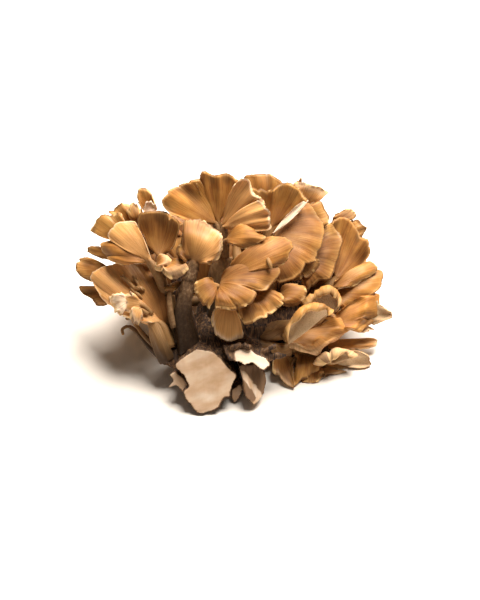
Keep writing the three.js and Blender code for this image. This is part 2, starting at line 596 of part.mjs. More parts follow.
function ringCap(ring, turn, order) {
  const [t, l] = [deg(turn), deg(ring.lean)];
  const root = vec([
    RING_MIDDLE + ring.across * Math.sin(t),
    ring.low + ring.lift * Math.cos(t),
    ring.back - ring.deep * Math.cos(t),
  ]);
  const out = vec([Math.sin(l) * Math.sin(t), Math.cos(l), -Math.sin(l) * Math.cos(t)]);
  const up = vec([-Math.cos(l) * Math.sin(t), Math.sin(l), Math.cos(l) * Math.cos(t)]);
  const side = new THREE.Vector3().crossVectors(up, out);
  const rim = RING_RIM.map((share, i) => {
    const spread = deg(RING_SPREAD * share);
    const length = ring.reach * (1 - 0.25 * share ** 2) * (1 + 0.07 * Math.sin(2.4 * i + 1.7 * order));
    return root
      .clone()
      .addScaledVector(out, length * Math.cos(spread))
      .addScaledVector(side, length * Math.sin(spread));
  });
  return { root, rim, up, bulge: 3, folds: [2.5, 1.2, 0.37 * order] };
}

const backCaps = RINGS.flatMap((ring) => ring.turns.map((turn, i) => ringCap(ring, turn, i)));

// ---- Caps inside the head, which close the view between the fronds ----
const INNER_CAPS = [
  {
    root: [-40, 0, -12], slope: [0, -0.1], bulge: 2, folds: [2, 1, 0.1],
    rim: [[-62, 8], [-58, 20], [-46, 25], [-35, 23], [-29, 14]],
  },
  {
    root: [-18, 6, -18], slope: [0, -0.05], bulge: 2, folds: [2, 1, 0.4],
    rim: [[-37, 20], [-36, 34], [-25, 41], [-12, 39], [-3, 30], [0, 18]],
  },
  {
    root: [14, 10, -26], slope: [0, 0], bulge: 2, folds: [2, 1, 0.7],
    rim: [[-2, 26], [2, 42], [16, 49], [31, 46], [40, 34], [38, 18]],
  },
  {
    root: [36, 0, -25], slope: [0, 0], bulge: 2, folds: [2, 1, 0.2],
    rim: [[24, 12], [32, 24], [45, 25], [56, 14], [60, 0], [55, -9]],
  },
];

// ---- The butt: the stout base, its core inside the head, and the knife-cut end ----
// A cut stump: its sawn outline on the face, shrinking as it runs back into the base.
function stump({ outline, at, slope, back, shrink }, grow = 0) {
  const face = vec(at);
  const [gx, gy] = slope;
  const corners = outline.map(([x, y]) => new THREE.Vector2(x, y));
  const centre = new THREE.Vector2();
  corners.forEach((corner) => centre.addScaledVector(corner, 1 / corners.length));
  const shape = new THREE.Shape(corners);
  const block = new THREE.ExtrudeGeometry(shape, { depth: 1, bevelEnabled: false });
  return solid(block, (p) => {
    const spread = new THREE.Vector2(p.x - centre.x, p.y - centre.y);
    spread.setLength(spread.length() + grow);
    const z = face.z + gx * (p.x - face.x) + gy * (p.y - face.y) + grow;
    const front = new THREE.Vector3(centre.x + spread.x, centre.y + spread.y, z);
    const rear = new THREE.Vector3(back[0] + spread.x * shrink, back[1] + spread.y * shrink, back[2]);
    return rear.lerp(front, p.z);
  });
}

const MAIN_CUT = {
  at: [-20, -58.5, 11.2], slope: [-0.05, 0.1], back: [-14, -24, -10], shrink: 0.62,
  outline: [[-22, -25], [-14.4, -26.3], [-9.7, -30], [-6, -34.7], [-1.7, -38.4], [-3.5, -43.6],
    [-5.3, -47], [-5.1, -50], [-7.7, -49.4], [-9.5, -52], [-11, -54.8], [-15, -57], [-20.2, -58.6],
    [-22.2, -57.6], [-28.5, -49.8], [-29, -47], [-26.2, -44.3], [-28, -40], [-31, -36.8],
    [-33.6, -34.7], [-33.2, -32.6], [-27, -27.8]],
};
const FLAP = {
  at: [-34, -40, 10.5], slope: [0.1, 0.1], back: [-20, -30, -6], shrink: 0.6,
  outline: [[-36.3, -37.8], [-33.7, -36.2], [-29, -39.8], [-26.5, -44], [-29.5, -47.2], [-33, -44],
    [-38, -45.5], [-34.5, -41.5]],
};
const SIDE_CUT = {
  at: [6, -29, 13], slope: [-0.15, -0.35], back: [2, -18, -10], shrink: 0.8,
  outline: [[0.2, -24.3], [3.8, -23.2], [6.1, -25.8], [8.5, -27.9], [13.2, -29.5], [15.5, -33.1],
    [12.1, -36], [8.5, -34.2], [6.4, -32.3], [2.8, -33.4], [-1.4, -31.6], [-5.6, -31], [-9, -24.5],
    [-3, -26.3]],
};
const FLANK = {
  at: [8, -44, 9], slope: [-0.5, -0.1], back: [4, -26, -10], shrink: 0.75,
  outline: [[-1, -33.5], [7, -33], [12.1, -35.5], [13.3, -38], [13.2, -42.5], [12.1, -47.7],
    [10.6, -50.5], [7.2, -54], [2.8, -49.8], [1.5, -41]],
};
const STUB = {
  at: [-1.5, -47, 6], slope: [0, 0], back: [-4, -36, -8], shrink: 1,
  outline: [[-4.5, -46.2], [0.2, -43], [1.5, -46.2], [0, -50], [-2.6, -53.6], [-4.8, -50.4]],
};
const CORE = [
  {
    points: [[-17, -40, 2], [-15, -28, -4], [-10, -10, -16], [0, 6, -26]],
    radii: [13, 14, 12, 13], sides: 8,
  },
  { points: [[-10, -12, -16], [0, 6, -28], [8, 22, -34]], radii: [11, 13, 9], sides: 8 },
  { points: [[-12, -20, -9], [16, -13, -19], [38, -4, -26]], radii: [12, 10, 7] },
  { points: [[-20, -28, -4], [-29, -24, -6], [-38, -24, -4]], radii: [11, 9, 5] },
  { points: [[-22, -33, -1], [-38, -28, 0]], radii: [9, 4.5], sides: 6, steps: 1 },
];

// A hidden cap's neck leaves the core inside these shares of its root's x and y, at this depth.
const BACK_FORK = { across: 0.4, along: 0.7, depth: -18, radius: 4 };

function butt(grow = 0) {
  return union([
    ...[MAIN_CUT, FLAP, SIDE_CUT, FLANK, STUB].map((cut) => stump(cut, grow)),
    ...CORE.map((piece) => limb(piece, grow)),
    ...[...backCaps, ...INNER_CAPS].map((cap) => {
      const [x, y] = [...cap.root];
      const at = [x * BACK_FORK.across, y * BACK_FORK.along, BACK_FORK.depth];
      return capSolid(cap, { at, radius: BACK_FORK.radius }, grow);
    }),
  ]);
}

// A frond: its stems and its caps in one body.
function frondSolid({ caps, stems = [], fork }, grow = 0) {
  return union([...caps.map((cap) => capSolid(cap, fork, grow)), ...stems.map((stem) => limb(stem, grow))]);
}

// ---- The mushroom ----
const root = new THREE.Group();
root.position.set(-MIDDLE[0], -MIDDLE[1], 0);

// Adds one body under its name. A cut can leave crumbs beside it, and they are dropped.
function add(name, made, skin) {
  const [body] = made.decompose().sort((a, b) => b.volume() - a.volume());
  const mesh = body.getMesh();
  const geometry = new THREE.BufferGeometry()
    .setAttribute("position", new THREE.BufferAttribute(mesh.vertProperties, 3))
    .setIndex(new THREE.BufferAttribute(mesh.triVerts, 1));
  const looks = new THREE.MeshStandardMaterial({ color: skin, roughness: 0.7, metalness: 0 });
  const part = new THREE.Mesh(geometry, looks);
  part.name = name;
  root.add(part);
}

// Everything is trimmed flat where it meets the table.
const slab = new THREE.BoxGeometry(TRIM, TRIM, TRIM).translate(0, 0, -TRIM / 2);
slab.deleteAttribute("normal");
slab.deleteAttribute("uv");
const block = mergeVertices(slab);
const table = fromMesh(block.attributes.position.array, new Uint32Array(block.index.array));

// Each frond gives way to the ones before it, with the clear space between them.
const taken = [butt(), butt(GAP)];
add("butt", butt().subtract(table), BUTT_SKIN);
for (const frond of FRONDS) {
  let made = frondSolid(frond);
  for (const other of taken) made = made.subtract(other);
  taken.push(made, frondSolid(frond, GAP));
  add(frond.name, made.subtract(table), frond.skin);
}

export default root;
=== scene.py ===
"""A maitake mushroom laid on a pale table: thin fan-shaped caps in fronds on a knife-cut butt."""

import math

import bmesh
import bpy
from mathutils import Matrix, Vector, noise


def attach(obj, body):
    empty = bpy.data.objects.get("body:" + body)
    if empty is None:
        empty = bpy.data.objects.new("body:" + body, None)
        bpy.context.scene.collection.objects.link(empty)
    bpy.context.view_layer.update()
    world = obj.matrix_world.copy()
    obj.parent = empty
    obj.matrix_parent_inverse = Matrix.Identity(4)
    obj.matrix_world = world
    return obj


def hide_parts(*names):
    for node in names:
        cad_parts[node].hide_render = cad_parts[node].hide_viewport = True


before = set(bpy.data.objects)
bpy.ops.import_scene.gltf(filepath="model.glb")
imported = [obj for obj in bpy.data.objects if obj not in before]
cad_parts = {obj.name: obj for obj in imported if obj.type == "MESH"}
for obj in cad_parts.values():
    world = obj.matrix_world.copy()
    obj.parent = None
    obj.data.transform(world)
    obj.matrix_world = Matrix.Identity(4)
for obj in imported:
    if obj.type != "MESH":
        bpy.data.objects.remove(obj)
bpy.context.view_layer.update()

# ---- The way the mushroom lies ----
# It is laid out as it grew, in millimetres: x to its right, y up along its growth, z out of its open
# face. It lies on its back edge with the open face tipped up by half a right angle.
LEAN = math.radians(45)
TABLE = 47.5  # from the table to the layout's middle, across the lean
EYE = 850  # from the layout's middle to the eye that its outlines were drawn for
MIDDLE = Vector((-2.98, 11.02, 0))  # what comes to lie over the table's middle
SETTLE = 2  # what lies lower than this is pressed flatter
lay_down = Matrix.Translation((0, 0, TABLE / math.sqrt(2))) @ Matrix.Rotation(LEAN, 4, "X")


def laid(p):
    """A point of the growing mushroom, in millimetres, at its place on the table in metres."""
    widen = 1 - p.z / EYE
    flat = lay_down @ Vector((p.x * widen, p.y * widen, p.z)) - MIDDLE
    if flat.z < SETTLE:
        flat.z = SETTLE * math.exp(flat.z / SETTLE - 1)
    return flat / 1000


# ---- Camera ----
# It looks square onto the open face from the distance at which the outlines were laid out. Its lens is
# long, so the caps at the back are drawn nearly as large as those in front.
def add_object(name, data):
    """An object in the scene."""
    made = bpy.data.objects.new(name, data)
    bpy.context.scene.collection.objects.link(made)
    return made


camera_data = bpy.data.cameras.new("camera")
camera_data.lens = 100
camera_data.sensor_width = 36
camera = add_object("camera", camera_data)
camera.rotation_euler = (LEAN, 0, 0)
camera.location = (lay_down @ Vector((0, 0, EYE)) - MIDDLE) / 1000
bpy.context.scene.camera = camera
bpy.context.scene.view_settings.view_transform = "Standard"


# ---- Table and light ----
# A white paper sweep takes soft shadows. One large lamp stands behind and to the right, well above the
# mushroom, and a weak even sky fills what it leaves dark.
def linear(hex_code):
    """An sRGB hex colour as a linear RGBA."""
    channels = [int(hex_code[i : i + 2], 16) / 255 for i in (1, 3, 5)]
    return (*(c / 12.92 if c <= 0.04045 else ((c + 0.055) / 1.055) ** 2.4 for c in channels), 1)


def add_node(material, kind, settings=None, inputs=None):
    """A shader node with its settings, where stops are a ramp's places and hex colours.

    Its inputs are values, hex colours, or the output sockets that they come from.
    """
    tree = material.node_tree
    made = tree.nodes.new("ShaderNode" + kind)
    for name, value in (settings or {}).items():
        if name != "stops":
            setattr(made, name, value)
            continue
        while len(made.color_ramp.elements) < len(value):
            made.color_ramp.elements.new(0.5)
        for element, (place, colour) in zip(made.color_ramp.elements, value):
            element.position = place
            element.color = linear(colour)
    for name, value in (inputs or {}).items():
        if isinstance(value, bpy.types.NodeSocket):
            tree.links.new(value, made.inputs[name])
        else:
            made.inputs[name].default_value = linear(value) if isinstance(value, str) else value
    return made


def new_material(name):
    """An empty material."""
    material = bpy.data.materials.new(name)
    material.use_nodes = True
    material.node_tree.nodes.clear()
    return material


def mesh_object(bm, name, material=None):
    """An object of what was built, and its material."""
    mesh = bpy.data.meshes.new(name)
    bm.to_mesh(mesh)
    bm.free()
    if material:
        mesh.materials.append(material)
    return add_object(name, mesh)


# Uncoated paper: an even off-white with no sheen, too smooth for any grain to show.
paper = new_material("matte white paper")
sheet = {"Base Color": "#f0e7dc", "Roughness": 0.9, "IOR": 1.45}
paper_shader = add_node(paper, "BsdfPrincipled", {}, sheet)
add_node(paper, "OutputMaterial", {}, {"Surface": paper_shader.outputs[0]})

bm = bmesh.new()
bmesh.ops.create_grid(bm, x_segments=1, y_segments=1, size=2)
floor = mesh_object(bm, "floor", paper)
floor.location.z = -0.0002  # clear of what rests on it

lamp_data = bpy.data.lights.new("key", "AREA")
lamp_data.shape = "DISK"
lamp_data.size = 0.8
lamp_data.energy = 43
lamp_data.color = (1, 0.97, 0.93)
lamp = add_object("key", lamp_data)
lamp.location = (0.27, 0.48, 1.04)
lamp.rotation_euler = lamp.location.to_track_quat("Z", "Y").to_euler()

sky = bpy.data.worlds.new("sky")
sky.use_nodes = True
sky.node_tree.nodes["Background"].inputs["Color"].default_value = (1, 0.88, 0.76, 1)
sky.node_tree.nodes["Background"].inputs["Strength"].default_value = 0.13
bpy.context.scene.world = sky

# ---- Cap skin ----
# Dry skin of radial fibres over white flesh gives a matte, streaky, slightly waxy face: golden where it
# is young, browner where it weathered, paler at the margin behind a thin dark edge. Painted shade darkens
# its folds and its root, and a painted highlight lightens its margin. Beneath are pores, and the stalk is
# fuzzy and grey-brown, with painted shade darkening it towards its foot.
COLOURS = {"data_type": "RGBA"}  # a Mix of colours takes inputs 0, 6 and 7 and gives output 2
STAIN = {"data_type": "RGBA", "blend_type": "MULTIPLY"}
SMOOTH = {"interpolation_type": "SMOOTHSTEP"}

cap_skin = new_material("maitake cap skin")
object_place = add_node(cap_skin, "TexCoord").outputs["Object"]
# Each point carries three vectors: its "fan" (mm from the root, mm across the rays, a seed), its "skin"
# (mm to the margin, underside, hollow) and its "look" (tone, fuzz, pale).
carried = []
for name in ("fan", "skin", "look"):
    place = add_node(cap_skin, "Attribute", {"attribute_name": name}).outputs["Vector"]
    carried += [place, *add_node(cap_skin, "SeparateXYZ", {}, {0: place}).outputs]
fan_place, from_root, _, _, _, to_margin, underside, hollow, _, tone, fuzz, pale = carried

# Fine fibres are 0.5 mm across and 11 mm long, broad folds of colour 4 mm across and 20 mm long.
grains = []
for along, across, bend in ((11, 0.5, 0), (20, 4, 0.4)):
    ray = add_node(cap_skin, "Mapping", {}, {"Vector": fan_place, "Scale": (1 / along, 1 / across, 1)})
    grain = {"Vector": ray.outputs[0], "Scale": 1, "Detail": 4, "Distortion": bend}
    grains.append(add_node(cap_skin, "TexNoise", {}, grain).outputs["Fac"])
fine, broad = grains
# Blotches are 14 mm wide and the stalk's fuzz is in tufts of 1.6 mm. Real pores are 0.3 to 0.5 mm apart,
# too fine to show, so they are drawn 0.8 mm apart.
specks = []
for scale, detail, rough in ((70, 3, 0.5), (640, 5, 0.65)):
    speck = {"Vector": object_place, "Scale": scale, "Detail": detail, "Roughness": rough}
    specks.append(add_node(cap_skin, "TexNoise", {}, speck).outputs["Fac"])
blotch, mottle = specks
pores = add_node(cap_skin, "TexVoronoi", {}, {"Vector": fan_place, "Scale": 1.2}).outputs["Distance"]

# Each share turns smoothly from one level to another as a value goes between two limits: its name, the
# value, its limits and the level at each.
shares = {}
for name, *levels in (
    ("light patch", blotch, 0.48, 0.7, 0, 0.4),
    ("dark patch", blotch, 0.34, 0.5, 0.45, 0),
    # painted shade: darker in the bottoms of the folds, where shade falls
    ("in a fold", hollow, 0, 0.9, 0, 0.72),
    # painted shade: darker near the root, deep among the caps
    ("near the root", from_root, 2, 18, 0.58, 0),
    ("young", pale, 0.3, 0.8, 0, 0.8),
    # partly the margin's own paler skin, partly a painted highlight where the lamp catches the margin
    ("near the margin", to_margin, 0.5, 8, 0.42, 0),
    ("rubbed margin", to_margin, 1.5, 6, 1, 0),
    ("rubbed all over", pale, 0.9, 1, 0, 1),
    ("edge", to_margin, 1.4, 2.8, 0.75, 0),
    # painted shade: stalks darken towards their foot, deep among the fronds
    ("foot", from_root, -34, -12, 0.88, 0),
    ("stalk", from_root, -5, 4, 1, 0),
    ("roughness", blotch, 0.3, 0.7, 0.62, 0.42),
):
    shares[name] = add_node(cap_skin, "MapRange", SMOOTH, dict(enumerate(levels))).outputs["Result"]

sums = {}
for name, operation, *terms in (
    ("fresh", "SUBTRACT", 1, tone),
    ("young", "MULTIPLY", shares["young"], "fresh"),
    ("rubbed", "MAXIMUM", shares["rubbed margin"], shares["rubbed all over"]),
    ("rubbed", "MULTIPLY", "rubbed", pale),
    ("rubbed", "MULTIPLY", "rubbed", "fresh"),
    ("worn edge", "MULTIPLY_ADD", tone, 0.28, broad),
):
    terms = {i: sums.get(term, term) for i, term in enumerate(terms)}
    settings = {"operation": operation, "use_clamp": True}
    sums[name] = add_node(cap_skin, "Math", settings, terms).outputs[0]

# Each ramp takes its colour from a pattern.
ramps = {}
for name, pattern, stops in (
    ("golden", broad, [(0.28, "#a96b2f"), (0.46, "#c3843d"), (0.62, "#cf9146"), (0.8, "#dda457")]),
    ("weathered", broad, [(0.3, "#5e391b"), (0.48, "#825328"), (0.7, "#9c6934")]),
    ("streaks", fine, [(0.36, "#a27b54"), (0.5, "#f4ece2"), (0.62, "#ffffff")]),
    ("edge", sums["worn edge"], [(0.48, "#e6bd82"), (0.58, "#5e3b1c")]),
    ("pores", pores, [(0.1, "#94714f"), (0.5, "#cdaa7e")]),
    ("pore tint", blotch, [(0.35, "#ae8d6a"), (0.65, "#dabf9c")]),
    ("stalk", fine, [(0.3, "#85603a"), (0.5, "#9c7345"), (0.72, "#b58a5a")]),
    # the fuzz colours are kept dark, partly the fuzz's own colour and partly painted shade on stalks in
    # shadow
    ("fuzz", mottle, [(0.3, "#4b3624"), (0.5, "#6f533a"), (0.7, "#9e8160")]),
):
    ramps[name] = add_node(cap_skin, "ValToRGB", {"stops": stops}, {"Fac": pattern}).outputs["Color"]

# The colours are laid over one another by their shares: the pores, then the stalk, then the whole skin.
pore_colour, stalk_colour, skin_colour = ramps["pores"], ramps["stalk"], ramps["golden"]
for share, colour in ((0.5, ramps["pore tint"]), (shares["rubbed all over"], "#e8cdb0")):
    pore_colour = add_node(cap_skin, "Mix", COLOURS, {0: share, 6: pore_colour, 7: colour}).outputs[2]
# the stalk's fuzz, then painted shade towards its foot
for share, colour in ((fuzz, ramps["fuzz"]), (shares["foot"], "#2a1b0f")):
    stalk_colour = add_node(cap_skin, "Mix", COLOURS, {0: share, 6: stalk_colour, 7: colour}).outputs[2]
for share, colour, blend in (
    (tone, ramps["weathered"], COLOURS),
    (shares["light patch"], "#d9a65e", COLOURS),
    (shares["dark patch"], "#84562d", COLOURS),
    # painted shade in the folds
    (shares["in a fold"], "#65401f", COLOURS),
    # painted shade near the root
    (shares["near the root"], "#74481f", COLOURS),
    (sums["young"], "#e4ab6c", COLOURS),
    # paler margin with a painted highlight
    (shares["near the margin"], "#dfae6b", COLOURS),
    (sums["rubbed"], "#f6d9b8", COLOURS),
    (0.42, ramps["streaks"], STAIN),
    (shares["edge"], ramps["edge"], COLOURS),
    (underside, pore_colour, COLOURS),
    (shares["stalk"], stalk_colour, COLOURS),
):
    skin_colour = add_node(cap_skin, "Mix", blend, {0: share, 6: skin_colour, 7: colour}).outputs[2]
height = add_node(cap_skin, "Mix", COLOURS, {0: underside, 6: fine, 7: pores}).outputs[2]
bump = add_node(cap_skin, "Bump", {}, {"Strength": 0.4, "Distance": 0.0003, "Height": height}).outputs[0]
cap_shader = add_node(
    cap_skin,
    "BsdfPrincipled",
    {},
    {
        "Base Color": skin_colour,
        "Roughness": shares["roughness"],
        "IOR": 1.4,
        "Specular IOR Level": 0.3,
        "Subsurface Weight": 0.1,
        "Subsurface Radius": (1, 0.45, 0.2),
        "Subsurface Scale": 0.002,
        "Normal": bump,
    },
)
add_node(cap_skin, "OutputMaterial", {}, {"Surface": cap_shader.outputs[0]})

# ---- Left low frond ----
# The lowest frond on the left is one broad cap in folds over a smooth stalk, torn open in front, with
# three caps behind it and two dried strands below. Like every frond it grew as one body: each cap is a
# thin fan of white flesh that widens out of its own stalk and turns down at its margin.
PLAIN_CAP = dict(
    thick=4.5,  # of the flesh at the root, mm
    half=2.2,  # half the root's width, mm
    neck=2.2,  # the stalk's radius where it starts on another cap, mm
    bulge=1,  # how far the fan arches up, mm
    curl=70,  # how far the margin turns down, degrees
    lip=1.6,  # the part that turns down, mm
    bead=0,  # height of a puffy roll along the margin, mm
    ragged=0.65,  # nibbles in the margin, mm
    torn=2.2,  # the deepest splits, mm
    crumple=1.25,  # uneven folds, mm
    # pale also lifts some caps that lie in shade, and there it is painted light
    pale=0,  # how far the skin is rubbed
)
MARGIN_THICK = 1.1  # of the flesh at the margin, mm
FACET, NECK_FACET = 0.75, 1.2  # mm between points
COLUMNS, FAN_ROWS, NECK_ROWS = (14, 110), (10, 60), (5, 40)  # the fewest and the most
ROLLED = 2  # a margin that turns down by more than this, in radians, is a rolled rim
ROLLED_ROWS = 1.8  # and takes this many times the rows
ROLLED_EDGE = 1.5  # and hides this much of its dark edge, mm
RIM_SAMPLES = 60
RIM_STEP = 0.05  # the least turn between two points of a rim, radians
CROWDED = 0.45  # how far the columns crowd towards a fan's sides
TURN = 0.82  # where on its ray the margin starts to turn down
BEAD_AT, BEAD_WIDE = 0.83, 0.13  # where on its ray the puffy roll lies, and its width
SWELL = 0.5  # how far a fan widens sideways near its root
SINK = 1.5  # how deep a stalk starts inside what it grows from, mm
SPLIT_APART, SPLIT_WIDE = 13, 0.7  # mm
NIBBLES = ((0.7, 1.1, 3.1), (1.2, 4.2, 7.7))  # share, length in mm, place in the noise
CREASES, RUFFLES, BUCKLES = (0.06, 1.8), (0.8, 7), (0.9, 9)  # share of the crumple, length in mm
LUMPS = ((0.5, 2, 9), (0.12, 5, 20))  # share, turns round the limb, length in mm
LIMB_TIP = 0.02  # of the radius, where a limb closes
ON_STALK, STALK_TONE = 50, 0.5  # a stalk's "mm to the margin" and its tone


def cap(root, slope, folds, **shape):
    """A cap's root, the slope of its face, its folds (how many, mm high, phase) and what isn't plain.

    The rim is its margin, tone how brown it is at one place or more along that, and start is where its
    stalk leaves another cap. With under, the pores face up. The stalk is as thick as flare at the root.
    """
    return dict(PLAIN_CAP, root=root, slope=slope, folds=folds, **shape)


def smooth(value, low, high):
    """A share from 0 at low to 1 at high, level at both ends."""
    share = min(max((value - low) / (high - low), 0), 1)
    return share * share * (3 - 2 * share)


def spline(points, share):
    """A point of the centripetal Catmull-Rom curve through points."""
    last = len(points) - 1
    at = last * min(max(share, 0), 1)
    i = min(int(at), last - 1)
    w = at - i
    b, c = points[i], points[i + 1]
    a = points[i - 1] if i else b * 2 - c
    d = points[i + 2] if i + 2 <= last else c * 2 - b
    ab, bc, cd = (max((q - p).length_squared ** 0.25, 1e-4) for p, q in ((a, b), (b, c), (c, d)))
    start = ((b - a) / ab - (c - a) / (ab + bc) + (c - b) / bc) * bc
    end = ((c - b) / bc - (d - b) / (bc + cd) + (d - c) / cd) * bc
    w2, w3 = w * w, w * w * w
    return b * (2 * w3 - 3 * w2 + 1) + start * (w3 - 2 * w2 + w) + c * (3 * w2 - 2 * w3) + end * (w3 - w2)


def tube_point(centre, along, side, radius, turn):
    """A point on a round stalk, at a turn from its side over its upper face."""
    across = (side - along * side.dot(along)).normalized()
    return centre + (across * math.cos(turn) + along.cross(across) * math.sin(turn)) * radius


def counted(steps, fewest, most):
    """A whole number of steps, within limits."""
    return min(max(round(steps), fewest), most)


def mapped_grid(bm, rows, columns, place):
    """A closed skin: a grid is doubled, and place(row, column, face) puts each face's points."""
    made = bmesh.ops.create_grid(bm, x_segments=rows, y_segments=columns, size=0.5)["verts"]
    faces = list(dict.fromkeys(face for vert in made for face in vert.link_faces))
    doubled = bmesh.ops.extrude_face_region(bm, geom=faces, use_keep_orig=True)["geom"]
    under = [item for item in doubled if isinstance(item, bmesh.types.BMVert)]
    fan, skin, look = (bm.verts.layers.float_vector[name] for name in ("fan", "skin", "look"))
    for verts, face in ((made, 1), (under, -1)):
        for vert in verts:
            row = round((vert.co.x + 0.5) * rows)
            column = round((vert.co.y + 0.5) * columns)
            vert.co, vert[fan], vert[skin], vert[look] = place(row, column, face)


def fan_plane(shape):
    """A cap's root, its rim in order and fanned out, its up, out and side, and if its rim was turned."""
    root, up, rim = Vector(shape["root"]), shape.get("up"), shape["rim"]
    if not up:
        gx, gy = shape["slope"]
        up = Vector((-gx, -gy, 1)).normalized()
        rim = [Vector((x, y, root.z + gx * (x - root.x) + gy * (y - root.y))) for x, y in rim]
    if shape.get("under"):
        up = -up
    out = sum(rim, Vector()) / len(rim) - root
    out = (out - up * out.dot(up)).normalized()
    side = up.cross(out)
    flipped = (rim[-1] - rim[0]).dot(side) < 0
    if flipped:
        rim.reverse()
    arms = [p - root for p in rim]
    turns = [math.atan2(arm.dot(side), arm.dot(out)) for arm in arms]
    apart = list(turns)
    middle = len(rim) // 2
    for i in range(middle + 1, len(rim)):
        apart[i] = max(apart[i], apart[i - 1] + RIM_STEP)
    for i in range(middle - 1, -1, -1):
        apart[i] = min(apart[i], apart[i + 1] - RIM_STEP)
    rim = [root + Matrix.Rotation(now - was, 3, up) @ arm for arm, was, now in zip(arms, turns, apart)]
    return root, rim, up, out, side, flipped


def add_cap(bm, shape, fork, fork_radius, tone, fuzz, seed):
    """A cap and its stalk in one skin, from the fork through the fan to the margin."""
    root, rim, up, out, side, flipped = fan_plane(shape)
    names = ("thick", "half", "bulge", "lip", "crumple")
    thick, half, bulge, lip, crumple = (shape[name] for name in names)
    waves, wave_height, phase = shape["folds"]
    curl = math.radians(shape["curl"])
    rolled = curl > ROLLED
    tones = shape.get("tone", tone)
    tones = [Vector((share, 0)) for share in (tones if isinstance(tones, tuple) else (tones, tones))]
    if flipped:
        tones.reverse()
    flare = shape.get("flare", 0.4 * thick)

    samples = [spline(rim, i / RIM_SAMPLES) for i in range(RIM_SAMPLES + 1)]
    edge_length = sum((b - a).length for a, b in zip(samples, samples[1:]))
    reach = sum((p - root).length for p in samples) / len(samples)
    columns = counted(edge_length / FACET, *COLUMNS)
    fan_rows = counted(reach / FACET * (ROLLED_ROWS if rolled else 1), *FAN_ROWS)
    splits = []
    for i in range(round(edge_length / SPLIT_APART)):
        at, deep = noise.cell_vector((i + 0.5, seed, 2.5)).xy
        splits.append((at, shape["torn"] * deep**2))

    if "start" in shape:
        begin, begin_radius = Vector(shape["start"]) - Vector((0, 0, SINK)), 0.6 * shape["neck"]
    else:
        begin, begin_radius = Vector(fork), 0.7 * fork_radius
    finish = root - up * 0.55 * thick + out * 1.5
    forward = out.dot(finish - begin)
    turn_at = finish - out * 0.4 * forward if forward > 0 else (begin + finish) / 2
    neck_length = (turn_at - begin).length + (finish - turn_at).length
    neck_rows = counted(neck_length / NECK_FACET, *NECK_ROWS)

    shares, ends = [], []
    for column in range(columns + 1):
        even = column / columns
        v = (1 - CROWDED) * even + CROWDED * (0.5 - 0.5 * math.cos(math.pi * even))
        ray = spline(rim, v) - root
        arc = v * edge_length
        nibble = sum(high * noise.noise((arc / wide, seed, place)) for high, wide, place in NIBBLES)
        nibble *= shape["ragged"]
        for at, deep in splits:
            nibble -= deep * math.exp(-(((v - at) * edge_length / SPLIT_WIDE) ** 2))
        shares.append(v)
        ends.append(ray * (1 + nibble / ray.length))

    def neck_point(s, v, face):
        centre = begin * (1 - s) ** 2 + turn_at * 2 * s * (1 - s) + finish * s * s
        along = ((turn_at - begin) * (1 - s) + (finish - turn_at) * s).normalized()
        radius = begin_radius + (flare - begin_radius) * s
        return tube_point(centre, along, side, radius, face * math.pi * (1 - v))

    def fan_point(u, v, end, face):
        length = end.length
        start = side * (half * end.dot(side) / length) + out * (0.4 * half * end.dot(out) / length)
        t = min(u / TURN, 1)
        arc = v * edge_length
        crease = CREASES[0] * noise.noise((arc / CREASES[1], u * 2.5, seed))
        ruffle = RUFFLES[0] * noise.noise((arc / RUFFLES[1], u * 2.5, seed + 40))
        spot = ((root.x + end.x * u) / BUCKLES[1], (root.y + end.y * u) / BUCKLES[1], seed)
        buckle = BUCKLES[0] * noise.noise(spot)
        wave = 0.75 * wave_height * math.sin(2 * math.pi * (waves * v + phase)) * t**2.2
        relief = wave + crumple * (crease * t + ruffle * smooth(t, 0.3, 1) + buckle * t)
        roll = shape["bead"] * math.exp(-(((t - BEAD_AT) / BEAD_WIDE) ** 2))
        lift = bulge * 4 * t * (1 - t) + relief + roll * (1 + 1.2 * noise.noise((arc / 5, seed, 4.4)))
        swell = side * (SWELL * (1 - t) * end.dot(side))
        point = root + start.lerp(end * (1 - lip / length) + swell, t) + up * lift
        away = end.normalized()
        normal = up
        if u > TURN:
            angle = curl * (u - TURN) / (1 - TURN)
            radius = lip / math.sin(min(curl, math.pi / 2))
            if rolled:
                radius *= 1 + 0.8 * noise.noise((arc / 7, seed, 9.1))
            point += away * radius * math.sin(angle) + up * radius * (math.cos(angle) - 1)
            normal = up * math.cos(angle) + away * math.sin(angle)
        flesh = MARGIN_THICK + (thick - MARGIN_THICK) * (1 - u) ** 3
        inward = min((1 - u) * length, min(v, 1 - v) * edge_length * max(u, 0.15) * 0.8)
        rounded = math.sqrt(max(1 - (1 - min(inward / (0.5 * flesh), 1)) ** 2, 0))
        depth = 0.5 * flesh * (1 - rounded) if face > 0 else flesh * (0.5 + 0.5 * rounded)
        return point - normal * depth, -relief / max(wave_height, 0.5)

    def place(row, column, face):
        v, end = shares[column], ends[column]
        w = row / neck_rows - 1 if row < neck_rows else 1 - (1 - (row - neck_rows) / fan_rows) ** 1.25
        blend = smooth(w, -0.5, 0.22)
        hollow = 0
        if blend < 1:
            point = neck_point(min(1 + w, 1), v, face)
        if blend > 0:
            on_fan, hollow = fan_point(max(w, 0), v, end, face)
            point = on_fan if blend == 1 else point.lerp(on_fan, blend)
        fan = (w * (neck_length if w < 0 else end.length), (v - 0.5) * edge_length, 10 * seed)
        to_margin = (1 - w) * end.length + (ROLLED_EDGE if rolled else 0) if w > 0 else ON_STALK
        return point, fan, (to_margin, int(face < 0), hollow), (spline(tones, v).x, fuzz, shape["pale"])

    mapped_grid(bm, neck_rows + fan_rows, columns, place)


